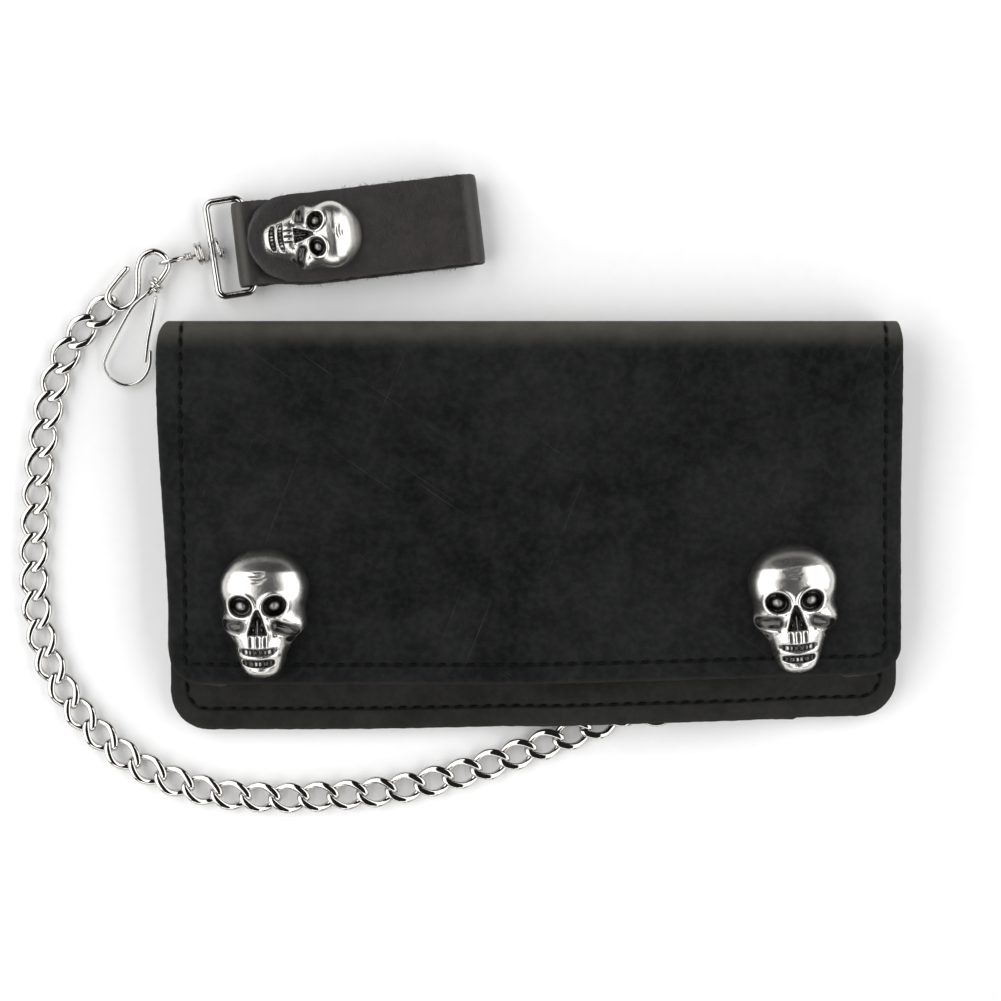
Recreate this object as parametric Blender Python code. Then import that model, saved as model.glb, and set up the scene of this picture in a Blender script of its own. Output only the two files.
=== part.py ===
"""Chain wallet: a long bifold leather wallet with skull snaps, a curb chain and a leather belt loop.

X runs along the spine, Y towards the spine and Z up. Lengths below are in millimetres.
"""

import math

import bmesh
import bpy
from mathutils import Matrix, Vector

MM = 0.001
GAP = 0.3  # between pieces that touch

# wallet
WIDTH = 185.0
DEPTH = 101.0
LEATHER = 1.8
THIN = 0.6
PANEL = 1.2
RISE = 4.3  # how far the pocket panel stands above its stitched edges
LIFT = 4.5  # how far the back rises over the chain's keeper
SNAP_HEIGHT = 3.9  # from pocket panel to cover lining
CORNER = 9.5
FLAP_STEP = 9.8  # from the back's lower edge to the flap's
FLAP_CORNER = 7.5
DROOP = 3.2  # how far the cover's sides hang

# skull caps
SKULL_WIDTH = 21.6
SKULL_LENGTH = 31.7
BELT_SKULL = 0.8
SNAP_FROM_SIDE = 26.9
SNAP_FROM_EDGE = 28.8

# belt loop
STRAP_WIDTH = 21.2
STRAP_LENGTH = 63.0
STRAP_LEATHER = 1.7
STRAP_ANGLE = 6.7
BELT_SNAP_A = 20.2
BELT_SNAP_V = -0.8

# wire ring
RING_WIRE = 0.9
RING_WIDTH = 9.2
RING_ANGLE = 8.8
RING_Z = RING_WIRE + 2.1

# hook, link and clip
HOOK_WIRE = 0.85
HOOK_Z = 2.6
LINK_WIRE = 0.45
CLIP_WIRE = 0.45

# chain
CHAIN_WIDTH = 7.6
CHAIN_HEIGHT = 3.6
CHAIN_Z = 1.85

HALF_W = WIDTH / 2
HALF_D = DEPTH / 2
SNAP_X = HALF_W - SNAP_FROM_SIDE
SNAP_Y = SNAP_FROM_EDGE - HALF_D
FLAP_LOW = FLAP_STEP - HALF_D
INSIDE_Y = HALF_D - LEATHER - GAP
LINING_Z = LEATHER + GAP
PANEL_Z = LINING_Z + THIN + GAP
PANEL_TOP = PANEL_Z + RISE + PANEL
COVER_LINING_Z = PANEL_TOP + SNAP_HEIGHT
COVER_Z = COVER_LINING_Z + THIN + GAP
COVER_TOP = COVER_Z + LEATHER
CAP_Z = COVER_TOP + GAP

KEEPER_START = (16.0, -HALF_D - 2.8)
KEEPER_END = (45.0, -HALF_D + 8.6)
D_BAR = (33.5, -HALF_D + 4.2)
D_ANGLE = 21.5
D_WIRE = 0.7
D_Z = 2.1

BLACK = (0.014, 0.014, 0.014, 1)
LINING_BLACK = (0.02, 0.02, 0.02, 1)
PEWTER = (0.46, 0.45, 0.42, 1)
NICKEL = (0.72, 0.71, 0.69, 1)
STEEL = (0.5, 0.5, 0.5, 1)


def clear_scene():
    for obj in list(bpy.data.objects):
        bpy.data.objects.remove(obj)


clear_scene()
PARTS = bpy.data.collections.new("chain_wallet")
CUTTERS = bpy.data.collections.new("chain_wallet_cutters")
for group in (PARTS, CUTTERS):
    bpy.context.scene.collection.children.link(group)


def smooth(t):
    t = min(max(t, 0.0), 1.0)
    return t * t * (3 - 2 * t)


def lift(x, y):
    """Height of the back above the table: flat over the keeper, nothing 24 mm away from it."""
    a, b, p = Vector(KEEPER_START), Vector(KEEPER_END), Vector((x, y))
    along = min(max((p - a).dot(b - a) / (b - a).length_squared, 0), 1)
    return LIFT * smooth(1 - ((p - a.lerp(b, along)).length - 8) / 16)


def inner(x, y):
    """0 at the three stitched edges and 1 inside the bill compartment."""
    edge = min(HALF_W - abs(x), y + HALF_D)
    return smooth((edge - 5.5) / 16)


def droop(x, y):
    return DROOP * smooth((abs(x) - HALF_W) / 14.5 + 1) * smooth((40 - y) / 40)


def surface(name, colour, metallic, roughness):
    material = bpy.data.materials.new(name)
    material.use_nodes = True
    shader = material.node_tree.nodes["Principled BSDF"]
    shader.inputs["Base Color"].default_value = colour
    shader.inputs["Metallic"].default_value = metallic
    shader.inputs["Roughness"].default_value = roughness
    material.diffuse_color = colour
    return material


FINISHES = {
    "leather": (BLACK, 0, 0.6),
    "lining": (LINING_BLACK, 0, 0.75),
    "pewter": (PEWTER, 1, 0.35),
    "nickel": (NICKEL, 1, 0.15),
    "steel": (STEEL, 1, 0.35),
}


def to_object(name, bm, where=CUTTERS):
    bmesh.ops.remove_doubles(bm, verts=bm.verts, dist=1e-5)
    bmesh.ops.recalc_face_normals(bm, faces=bm.faces)
    mesh = bpy.data.meshes.new(name)
    bm.to_mesh(mesh)
    bm.free()
    obj = bpy.data.objects.new(name, mesh)
    where.objects.link(obj)
    if where is CUTTERS:
        obj.hide_render = True
        obj.display_type = "WIRE"
    return obj


def finished(obj, name, finish):
    """Turns a millimetre shape into a named part in metres with its own material."""
    obj.data.transform(Matrix.Scale(MM, 4))
    CUTTERS.objects.unlink(obj)
    PARTS.objects.link(obj)
    obj.hide_render = False
    obj.display_type = "TEXTURED"
    obj.name = obj.data.name = name
    obj.data.materials.clear()
    obj.data.materials.append(surface(name, *FINISHES[finish]))
    return obj


def joined(target, tool, operation):
    """Applies one exact Boolean and drops the tool."""
    modifier = target.modifiers.new("boolean", "BOOLEAN")
    modifier.operation = operation
    modifier.solver = "EXACT"
    modifier.object = tool
    graph = bpy.context.evaluated_depsgraph_get()
    mesh = bpy.data.meshes.new_from_object(target.evaluated_get(graph))
    target.modifiers.clear()
    target.data = mesh
    bpy.data.objects.remove(tool)
    return target


def from_curve(curve, name):
    """A closed mesh from a curve object."""
    holder = bpy.data.objects.new(name, curve)
    CUTTERS.objects.link(holder)
    graph = bpy.context.evaluated_depsgraph_get()
    bm = bmesh.new()
    bm.from_mesh(bpy.data.meshes.new_from_object(holder.evaluated_get(graph)))
    bpy.data.objects.remove(holder)
    return to_object(name, bm)


def sheet(name, xs, rows, side, thickness, height):
    """Leather sheet on a grid: side(y) is its half width there, and height(x, y) its underside."""
    bm = bmesh.new()
    columns = len(xs) - 1
    bmesh.ops.create_grid(bm, x_segments=columns, y_segments=len(rows) - 1, size=1)
    for v in bm.verts:
        i = round((v.co.x + 1) / 2 * columns)
        j = round((v.co.y + 1) / 2 * (len(rows) - 1))
        y = rows[j]
        x = xs[i] * side(y) / xs[-1]
        v.co = (x, y, height(x, y))
    top = bmesh.ops.extrude_face_region(bm, geom=bm.faces[:])["geom"]
    for v in top:
        if isinstance(v, bmesh.types.BMVert):
            v.co.z += thickness
    return to_object(name, bm)


def plate(name, outline, thickness, z, holes=()):
    """Flat plate from an outline, with round holes given as (x, y, radius)."""
    curve = bpy.data.curves.new(name, "CURVE")
    curve.dimensions = "2D"
    curve.fill_mode = "BOTH"
    curve.extrude = thickness / 2
    rings = [outline] + [arc((x, y), r, 0, 345, 24) for x, y, r in holes]
    for ring in rings:
        spline = curve.splines.new("POLY")
        spline.points.add(len(ring) - 1)
        for point, (x, y) in zip(spline.points, ring):
            point.co = (x, y, 0, 1)
        spline.use_cyclic_u = True
    obj = from_curve(curve, name)
    obj.data.transform(Matrix.Translation((0, 0, z + thickness / 2)))
    return obj


def arc(centre, radius, start, end, count):
    """Points on an arc, angles in degrees."""
    steps = [math.radians(start + (end - start) * i / (count - 1)) for i in range(count)]
    return [(centre[0] + radius * math.cos(t), centre[1] + radius * math.sin(t)) for t in steps]


def rounded(x0, x1, y0, y1, radius):
    """Rectangle outline with four round corners."""
    corners = [((x1, y1), 0), ((x0, y1), 90), ((x0, y0), 180), ((x1, y0), 270)]
    points = []
    for (x, y), start in corners:
        centre = (x - math.copysign(radius, x - x0 - 1e-6), y - math.copysign(radius, y - y0 - 1e-6))
        points += arc(centre, radius, start, start + 90, 5)
    return points


def turned(name, profile, steps=18):
    """Solid of revolution about Z from a closed (radius, z) profile."""
    bm = bmesh.new()
    verts = [bm.verts.new((r, 0, z)) for r, z in profile]
    edges = [bm.edges.new((a, b)) for a, b in zip(verts, verts[1:])]
    if profile[0][0] > 0:
        edges.append(bm.edges.new((verts[-1], verts[0])))
    bmesh.ops.spin(
        bm, geom=verts + edges, cent=(0, 0, 0), axis=(0, 0, 1), angle=math.tau, steps=steps, use_merge=True
    )
    return to_object(name, bm)


def tube(name, points, radius, cyclic=False, resolution=2, radii=None):
    """Round wire along points."""
    curve = bpy.data.curves.new(name, "CURVE")
    curve.dimensions = "3D"
    curve.bevel_depth = radius
    curve.bevel_resolution = resolution
    curve.use_fill_caps = True
    spline = curve.splines.new("POLY")
    spline.points.add(len(points) - 1)
    for i, (x, y, z) in enumerate(points):
        spline.points[i].co = (x, y, z, 1)
        spline.points[i].radius = radii[i] if radii else 1
    spline.use_cyclic_u = cyclic
    return from_curve(curve, name)


def through(route, per_span=5):
    """Smooth Catmull-Rom points through the route's points."""
    p = [Vector(q) for q in route]
    p = [2 * p[0] - p[1], *p, 2 * p[-1] - p[-2]]
    points = []
    for a, b, c, d in zip(p, p[1:], p[2:], p[3:]):
        for k in range(per_span):
            t = k / per_span
            points.append(
                0.5 * (2 * b + (c - a) * t + (2 * a - 5 * b + 4 * c - d) * t * t
                       + (3 * b - a - 3 * c + d) * t ** 3)
            )
    return [tuple(q) for q in points + [p[-2]]]


def ellipsoid(name, centre, radii, around=24, high=12):
    bm = bmesh.new()
    bmesh.ops.create_uvsphere(bm, u_segments=around, v_segments=high, radius=1)
    bmesh.ops.scale(bm, vec=radii, verts=bm.verts)
    bmesh.ops.translate(bm, vec=centre, verts=bm.verts)
    return to_object(name, bm)


def box(name, low, high):
    bm = bmesh.new()
    bmesh.ops.create_cube(bm, size=1)
    size = [h - l for l, h in zip(low, high)]
    bmesh.ops.scale(bm, vec=size, verts=bm.verts)
    bmesh.ops.translate(bm, vec=[(l + h) / 2 for l, h in zip(low, high)], verts=bm.verts)
    return to_object(name, bm)


def placed(obj, x, y, z=0.0, angle=0.0):
    obj.data.transform(Matrix.Translation((x, y, z)) @ Matrix.Rotation(math.radians(angle), 4, "Z"))
    return obj


def by_corner(x, y):
    """A place that keeps its distance from the corner of the spine that the chain hangs by."""
    return x - HALF_W, y + HALF_D


WRAP_INNER = RING_WIRE + 0.7
WRAP_OUTER = WRAP_INNER + STRAP_LEATHER
STRAP_AT = by_corner(20.8 - WRAP_OUTER, 19.6)
RING_AT = by_corner(16.2, 19.3)
LINK_AT = by_corner(11.3, 18.4)


def in_strap(a, v):
    """Strap coordinates (along, across) to wallet X, Y."""
    t = math.radians(STRAP_ANGLE)
    return (
        STRAP_AT[0] + a * math.cos(t) - v * math.sin(t),
        STRAP_AT[1] + a * math.sin(t) + v * math.cos(t),
    )


# leather body of the wallet

side_columns = [HALF_W - d for d in (21.5, 17.5, 13.5, 9.5, 5.5, 0)]
bump_columns = [-8, -3, 2, 8, 16, 24, 32, 40, 46, 51, 56, 61]
COLUMNS = [-x for x in reversed(side_columns)] + [-40] + bump_columns + side_columns
corner_rows = [CORNER * (1 - math.cos(math.radians(t))) for t in (0, 18, 36, 54, 72, 90)]
LOW_ROWS = [-HALF_D + h for h in corner_rows + [13.5, 17.5, 21.5, 25.5, 29.5, 33.5]]
FULL_ROWS = LOW_ROWS + [15, INSIDE_Y]


def bottom_corner(radius, low):
    """Half width of a sheet whose lower corners are round."""

    def side(y):
        reach = max(low + radius - y, 0)
        return HALF_W - radius + math.sqrt(max(radius**2 - reach**2, 0))

    return side


def hole_tool(x, y, radius):
    return placed(turned("hole", [(0, -30), (radius, -30), (radius, 60), (0, 60)]), x, y)


body_side = bottom_corner(CORNER, -HALF_D)
back = sheet("back_cover", COLUMNS, FULL_ROWS, body_side, LEATHER, lift)
lining = sheet(
    "back_lining", COLUMNS, FULL_ROWS, body_side, THIN, lambda x, y: LINING_Z + lift(x, y)
)


def panel_height(x, y):
    rise = inner(x, y)
    return PANEL_Z + lift(x, y) * (1 - rise) + RISE * rise


panel = sheet("pocket_panel", COLUMNS, LOW_ROWS + [15, INSIDE_Y - 4.4], body_side, PANEL, panel_height)
for x in (-SNAP_X, SNAP_X):
    joined(panel, hole_tool(x, SNAP_Y, 1.6), "DIFFERENCE")

# front cover and what is sewn inside it

flap_columns = [HALF_W - d for d in (14.5, 11.5, 8.5, 5.5, 2.5, 0)]
FLAP_COLUMNS = [-x for x in reversed(flap_columns)] + [-12, 40] + flap_columns
flap_corner_rows = [FLAP_CORNER * (1 - math.cos(math.radians(t))) for t in (0, 22, 45, 67, 90)]
FLAP_ROWS = [FLAP_LOW + h for h in flap_corner_rows] + [-20, 0, 8, 16, 24, 32, 40, INSIDE_Y]


def flap(name, thickness, z, inset):
    """A sheet that hangs at its sides, and whose lower edge rises towards the right."""
    side = bottom_corner(FLAP_CORNER, FLAP_LOW)
    shrink = 1 - 2 * inset / (INSIDE_Y - FLAP_LOW)
    rows = [FLAP_LOW + inset + (y - FLAP_LOW) * shrink for y in FLAP_ROWS]
    obj = sheet(
        name, FLAP_COLUMNS, rows, lambda y: side(y - inset) - inset, thickness, lambda x, y: 0
    )
    for v in obj.data.vertices:
        x, y = v.co.x, v.co.y
        v.co.y += 2.5 * smooth((x + 12) / 110) * min(max((8 - y) / (8 - FLAP_LOW), 0), 1)
        v.co.z += z - droop(x, v.co.y)
    for x in (-SNAP_X, SNAP_X):
        joined(obj, hole_tool(x, SNAP_Y, 1.7), "DIFFERENCE")
    return obj


cover = flap("front_cover", LEATHER, COVER_Z, 0)
cover_lining = flap("cover_lining", THIN, COVER_LINING_Z, 1.5)

POCKET_HALF = 48.0
pocket_names = ["card_pocket_upper", "card_pocket_middle", "card_pocket_lower"]
pockets = {}
for step, name in enumerate(pocket_names):
    z = COVER_LINING_Z - (step + 1) * (THIN + GAP)
    top = 32.0 - 11.0 * step
    outline = rounded(-POCKET_HALF, POCKET_HALF, -36.5, top, 3)
    pockets[name] = plate(name, outline, THIN, z)

spine = box("spine_panel", (-HALF_W, HALF_D - LEATHER, 0), (HALF_W, HALF_D, COVER_TOP))

# snaps

SOCKET_HEIGHT = SNAP_HEIGHT - 1.5


def skull(scale=1.0):
    """Domed skull cap with its rolled post, crown towards +Y, underside at z = 0."""
    half, tall = SKULL_WIDTH / 2, SKULL_LENGTH / 2
    shape = ellipsoid("skull", (0, 5.4, 0), (half, tall - 5.4, 8.2), 20, 12)
    joined(shape, ellipsoid("cheeks", (0, -1.6, 0), (9.4, 8.2, 7.2), 18, 10), "UNION")
    joined(shape, ellipsoid("jaw", (0, -9.2, 0), (6.4, tall - 9.2, 6.2), 14, 8), "UNION")
    for s in (-1, 1):
        joined(shape, ellipsoid("eye", (4.3 * s, 1.6, 7.6), (2.9, 2.7, 2.4), 12, 8), "DIFFERENCE")
        joined(shape, ellipsoid("hollow", (8.8 * s, -7.4, 3.6), (2.7, 3.4, 3.6), 10, 6), "DIFFERENCE")
    joined(shape, ellipsoid("nose", (0, -3.3, 7.6), (1.5, 2.1, 1.6), 8, 6), "DIFFERENCE")
    joined(shape, ellipsoid("mouth", (0, -9.6, 6.4), (4.4, 0.6, 1.2), 10, 6), "DIFFERENCE")
    joined(shape, box("under", (-20, -20, -20), (20, 20, 0)), "DIFFERENCE")
    shape.data.transform(Matrix.Scale(scale, 4))
    return shape


def snap(prefix, x, y, angle, scale, bottom, stud_z, lining_z, cap_z, barrel_low):
    """Cap, socket, stud and eyelet of one snap. Each is its own closed solid."""
    post_low = lining_z - GAP - 0.8
    cap = skull(scale)
    post = turned("post", [(0, post_low - cap_z), (1.35, post_low - cap_z), (1.35, 1.5), (0, 1.5)])
    joined(cap, post, "UNION")
    placed(cap, x, y, cap_z, angle)
    top = lining_z - GAP
    socket = turned(
        "socket",
        [(1.65, top), (1.65, top - 0.5), (2.8, top - 0.6), (2.8, top - SOCKET_HEIGHT),
         (4.6, top - SOCKET_HEIGHT), (5.6, top - SOCKET_HEIGHT / 2), (5.6, top)],
    )
    stud_top = post_low - GAP
    stud = turned(
        "stud",
        [(1.55, stud_z), (5.2, stud_z), (5.2, stud_z + 0.5), (2.2, stud_z + 0.7), (2.4, stud_top - 0.5),
         (2.1, stud_top), (1.55, stud_top)],
    )
    eyelet = turned(
        "eyelet",
        [(0, bottom), (3.8, bottom), (3.8, bottom + 0.4), (1.25, bottom + 0.6), (1.25, barrel_low),
         (0, barrel_low)],
    )
    for piece in (socket, stud, eyelet):
        placed(piece, x, y)
    pieces = {"cap": cap, "socket": socket, "stud": stud, "eyelet": eyelet}
    return {f"{prefix}_{kind}": piece for kind, piece in pieces.items()}


STUD_Z = PANEL_TOP + GAP
EYELET_LOW = PANEL_TOP - PANEL - GAP - 0.6
snaps = {}
for prefix, x, lean in (("left_snap", -SNAP_X, 1.0), ("right_snap", SNAP_X, 5.0)):
    snaps.update(
        snap(prefix, x, SNAP_Y, lean, 1.0, EYELET_LOW, STUD_Z, COVER_LINING_Z, CAP_Z, STUD_Z + 1.2)
    )

# belt loop

RETURN_Z = STRAP_LEATHER + GAP
RETURN_TOP = RETURN_Z + STRAP_LEATHER
BELT_STUD_Z = RETURN_TOP + GAP
FLAP_Z = BELT_STUD_Z + SNAP_HEIGHT - GAP
FLAP_TOP = FLAP_Z + STRAP_LEATHER
FOLD_A = STRAP_LENGTH - STRAP_LEATHER - GAP
RETURN_END = BELT_SNAP_A + 6.5


def strap_profile():
    """Side view of the strap: under layer, wrap round the ring's bar and the end laid back on top."""
    centre = (WRAP_OUTER, WRAP_OUTER)
    outer = arc(centre, WRAP_OUTER, 270, 90, 11)
    inside = arc(centre, WRAP_INNER, 90, 270, 9)
    crest = [(WRAP_OUTER + 5.5, RETURN_TOP + 0.6), (WRAP_OUTER + 8, RETURN_TOP), (RETURN_END, RETURN_TOP)]
    below = [(RETURN_END, RETURN_Z), (WRAP_OUTER + 7.4, RETURN_Z), (WRAP_OUTER + 4.6, RETURN_Z + 0.7)]
    return [(FOLD_A, 0), *outer, *crest, *below, *inside, (FOLD_A, STRAP_LEATHER)]


def across_strap(name, profile):
    """A side view pulled across the strap's width and set in place."""
    obj = plate(name, profile, STRAP_WIDTH, -STRAP_WIDTH / 2)
    obj.data.transform(Matrix.Rotation(math.radians(90), 4, "X"))
    return placed(obj, *STRAP_AT, 0, STRAP_ANGLE)


belt_x, belt_y = in_strap(BELT_SNAP_A, BELT_SNAP_V)
strap = across_strap("belt_strap", strap_profile())
joined(strap, hole_tool(belt_x, belt_y, 1.6), "DIFFERENCE")
recess = placed(turned("recess", [(0, -1), (4.2, -1), (4.2, 0.8), (0, 0.8)]), belt_x, belt_y)
joined(strap, recess, "DIFFERENCE")
bend = across_strap(
    "belt_bend",
    [(STRAP_LENGTH - STRAP_LEATHER, 0), (STRAP_LENGTH, 0), (STRAP_LENGTH, FLAP_TOP),
     (STRAP_LENGTH - STRAP_LEATHER, FLAP_TOP)],
)
TIP = 3.9
half = STRAP_WIDTH / 2
tip = arc((TIP + half, 0), half, 90, 270, 17)
belt_flap = plate(
    "belt_flap", [*tip, (FOLD_A, -half), (FOLD_A, half)], STRAP_LEATHER, FLAP_Z,
    [(BELT_SNAP_A, BELT_SNAP_V, 1.7)],
)
placed(belt_flap, *STRAP_AT, 0, STRAP_ANGLE)
snaps.update(
    snap("belt_snap", belt_x, belt_y, STRAP_ANGLE - 90, BELT_SKULL, 0.05, BELT_STUD_Z, FLAP_Z,
         FLAP_TOP + GAP, BELT_STUD_Z + 1.2)
)

# ring, coil link, hook and key clip


RING_HEIGHT = STRAP_WIDTH + 2 * RING_WIRE + 1.3
ring_outline = rounded(
    -RING_WIDTH / 2, RING_WIDTH / 2, -RING_HEIGHT / 2, RING_HEIGHT / 2, RING_WIRE + 1.0
)
ring = tube("strap_ring", [(x, y, 0) for x, y in ring_outline], RING_WIRE, cyclic=True)
placed(ring, *RING_AT, RING_Z, RING_ANGLE)

LINK_ANGLE = 13.9
COIL_RADIUS = 2.55
COIL_PITCH = 1.1
COIL_STEP = RING_WIRE + LINK_WIRE + 2 * GAP  # from the bar's middle to the turn on each side of it
COIL_Z = COIL_RADIUS + LINK_WIRE + 0.1
EYE_FAR = -13.4
EYE_NEAR = -6.6
EYE_HALF = 1.95


def coil_x(turn):
    """Along the coil: close turns, one step under the ring's bar, then the last turn."""
    if turn <= 2.25:
        return -COIL_STEP - COIL_PITCH * (2.25 - turn)
    if turn <= 2.75:
        return COIL_STEP * (2 * smooth((turn - 2.25) / 0.5) - 1)
    return COIL_STEP + COIL_PITCH * (turn - 2.75)


def link_points():
    """One wire: an upright eye, a short neck and the coil that grips the ring's bar."""
    middle, reach = (EYE_FAR + EYE_NEAR) / 2, (EYE_NEAR - EYE_FAR) / 2
    points = []
    for k in range(15):
        t = math.radians(338 - 316 * k / 14)
        points.append((middle + reach * math.cos(t), 0, HOOK_Z + EYE_HALF * math.sin(t)))
    points[-1] = (EYE_NEAR + 0.1, 0, HOOK_Z + 0.4)
    points += [(-5.6, 0, HOOK_Z), (-4.7, 0, HOOK_Z - 0.9), (-4.0, 0.3, 0.9)]
    for k in range(1, 37):
        turn = 0.5 + k / 12
        t = math.radians(90) + math.tau * turn
        points.append((coil_x(turn), COIL_RADIUS * math.cos(t), COIL_Z + COIL_RADIUS * math.sin(t)))
    return points


link = tube("coil_link", link_points(), LINK_WIRE)
placed(link, *LINK_AT, 0, LINK_ANGLE)

HOOK_ROUTE = [
    (-10.2, 13.8), (-12.7, 10.8), (-14.9, 7.7), (-14.7, 5.1), (-12.2, 3.6), (-9.3, 4.6), (-7.6, 7.1),
    (-7.4, 10.7), (-7.3, 14.1), (-6.1, 17.0), (-3.4, 18.3), (-0.7, 17.1), (0.3, 14.6), (-1.0, 11.9),
    (-2.8, 9.8), (-4.6, 7.7),
]
hook = tube("hook", through([(*by_corner(x, y), HOOK_Z) for x, y in HOOK_ROUTE], 2), HOOK_WIRE)


def clip_height(y):
    """The clip leans from on top of the hook down to the table."""
    return 0.75 + (max(y, -15.8) + 15.8) * 0.162


CLIP_ROUTE = [
    (-5.1, 7.1), (-7.6, 5.1), (-9.4, 2.9), (-13.0, -3.3), (-15.7, -8.6), (-16.2, -11.1),
    (-15.0, -13.6), (-12.4, -15.4), (-9.9, -15.8), (-7.4, -14.9), (-5.4, -12.8), (-4.5, -10.3),
    (-4.3, -7.3),
]
clip_on_table = through([(*by_corner(x, y), clip_height(y)) for x, y in CLIP_ROUTE], 2)
wind_dir = Vector((2.1, 2.5, 0)).normalized()
wind_low = Vector((*by_corner(-3.7, 8.8), HOOK_Z))
wind_side = Vector((-wind_dir.y, wind_dir.x, 0))
winding = []
WIND_RADIUS = HOOK_WIRE + CLIP_WIRE + 0.35
for k in range(25):
    t = math.tau * k / 12
    centre = wind_low + wind_dir * (2.6 * (1 - k / 24))
    p = centre + wind_side * (WIND_RADIUS * math.sin(t)) + Vector((0, 0, WIND_RADIUS * math.cos(t)))
    winding.append(tuple(p))
clip = tube("key_clip", winding + clip_on_table, CLIP_WIRE, resolution=1)

LATCH_ROUTE = [(-2.9, 4.5), (-3.6, 1.1), (-4.8, -4.1), (-5.6, -9.7)]
latch = tube(
    "clip_latch",
    through([(*by_corner(x, y), clip_height(y)) for x, y in LATCH_ROUTE], 3),
    CLIP_WIRE,
    resolution=1,
)

# chain, in three lengths that meet at the two places where it is drawn to bend

CHAIN_UPPER = [
    (-108.3, 54.7), (-111.6, 51.4), (-114.6, 48.2), (-118.4, 42.7), (-120.9, 36.5), (-122.7, 29.4),
    (-124.0, 22.2), (-125.1, 14.5), (-125.8, 7.5), (-125.9, 3.0),
]
CHAIN_MIDDLE = [
    (-125.9, 3.0), (-126.3, -1.5), (-126.6, -8.1), (-126.5, -15.6), (-125.8, -23.0), (-124.5, -30.2),
    (-122.2, -37.3), (-118.9, -43.4), (-114.9, -49.2), (-112.2, -52.2),
]
CHAIN_LOWER = [
    (-112.2, -52.2), (-109.0, -55.3), (-103.4, -60.0), (-97.1, -63.8), (-90.1, -66.8), (-82.7, -69.0),
    (-75.2, -70.2), (-67.7, -70.7), (-60.4, -70.8), (-52.9, -70.4), (-45.3, -69.9), (-37.8, -69.2),
    (-30.4, -67.9), (-23.1, -66.2), (-16.0, -64.2), (-9.1, -61.9), (-2.5, -59.5), (4.4, -57.0),
    (10.9, -54.6), (17.7, -52.2), (26.3, -49.1),
]


def chain_length(name, route):
    """A flattened tube with blunt noses, so that lengths can bend where they meet."""
    points = [Vector(p) for p in through([(x, y, 0) for x, y in route], 2)]
    nose = [(GAP / 2, 0.14), (0.6, 0.55), (1.2, 1.0)]
    first = (points[1] - points[0]).normalized()
    last = (points[-2] - points[-1]).normalized()
    ends = points[0], points[-1]
    inside = [p for p in points if min((p - end).length for end in ends) > 2]
    path = [ends[0] + first * d for d, _ in nose] + inside
    path += [ends[1] + last * d for d, _ in reversed(nose)]
    blunt = [r for _, r in nose]
    radii = blunt + [1.0] * len(inside) + blunt[::-1]
    obj = tube(name, [tuple(p) for p in path], CHAIN_WIDTH / 2, radii=radii)
    obj.data.transform(Matrix.Diagonal((1, 1, CHAIN_HEIGHT / CHAIN_WIDTH, 1)))
    return placed(obj, 0, 0, CHAIN_Z)


chains = {
    "chain_upper": chain_length("chain_upper", CHAIN_UPPER),
    "chain_middle": chain_length("chain_middle", CHAIN_MIDDLE),
    "chain_lower": chain_length("chain_lower", CHAIN_LOWER),
}

# D-ring and keeper under the back cover

d_outline = [(0, -5.1), (0, 5.1)] + arc((-1.2, 0), 5.2, 90, 270, 11)
d_ring = tube("d_ring", [(x, y, 0) for x, y in d_outline], D_WIRE, cyclic=True, resolution=1)
placed(d_ring, *D_BAR, D_Z, D_ANGLE)

KEEPER_LEATHER = 1.1
KEEPER_WIDTH = 7.6
keep_in = D_WIRE + GAP
keep_out = keep_in + KEEPER_LEATHER
keeper_profile = [
    (12, D_Z + keep_out), *arc((0, D_Z), keep_out, 90, 270, 9), (4, D_Z - keep_out), (4, D_Z - keep_in),
    *arc((0, D_Z), keep_in, 270, 90, 7), (12, D_Z + keep_in),
]
keeper = plate("chain_keeper", keeper_profile, KEEPER_WIDTH, -KEEPER_WIDTH / 2)
keeper.data.transform(Matrix.Rotation(math.radians(90), 4, "X"))
placed(keeper, *D_BAR, 0, D_ANGLE)
rivet_x = D_BAR[0] + 8 * math.cos(math.radians(D_ANGLE))
rivet_y = D_BAR[1] + 8 * math.sin(math.radians(D_ANGLE))
joined(keeper, hole_tool(rivet_x, rivet_y, 1.5), "DIFFERENCE")
joined(back, hole_tool(rivet_x, rivet_y, 1.5), "DIFFERENCE")
sink = turned("sink", [(0, LIFT + 0.9), (3.3, LIFT + 0.9), (3.3, LIFT + 5), (0, LIFT + 5)])
joined(back, placed(sink, rivet_x, rivet_y), "DIFFERENCE")
head_z = D_Z + keep_in - GAP
rivet = turned(
    "rivet",
    [(0, head_z - 0.6), (2.4, head_z - 0.6), (3, head_z - 0.3), (3, head_z), (1.2, head_z),
     (1.2, LIFT + 1.1), (3, LIFT + 1.1), (3, LIFT + 1.5), (0, LIFT + 1.5)],
)
placed(rivet, rivet_x, rivet_y)

# names, materials and pivots

leather = {
    "back_cover": back, "spine_panel": spine, "front_cover": cover, "pocket_panel": panel,
    "belt_strap": strap, "belt_bend": bend, "belt_flap": belt_flap, "chain_keeper": keeper,
}
linings = {"back_lining": lining, "cover_lining": cover_lining, **pockets}
caps = {name: obj for name, obj in snaps.items() if name.endswith("cap")}
fittings = {name: obj for name, obj in snaps.items() if not name.endswith("cap")}
wires = {
    **chains, "hook": hook, "key_clip": clip, "clip_latch": latch, "coil_link": link, "strap_ring": ring,
    "d_ring": d_ring,
}
groups = (
    (leather, "leather"), (linings, "lining"), (caps, "pewter"), (wires, "nickel"),
    ({**fittings, "keeper_rivet": rivet}, "steel"),
)
for group, finish in groups:
    for name, obj in group.items():
        finished(obj, name, finish)

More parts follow.
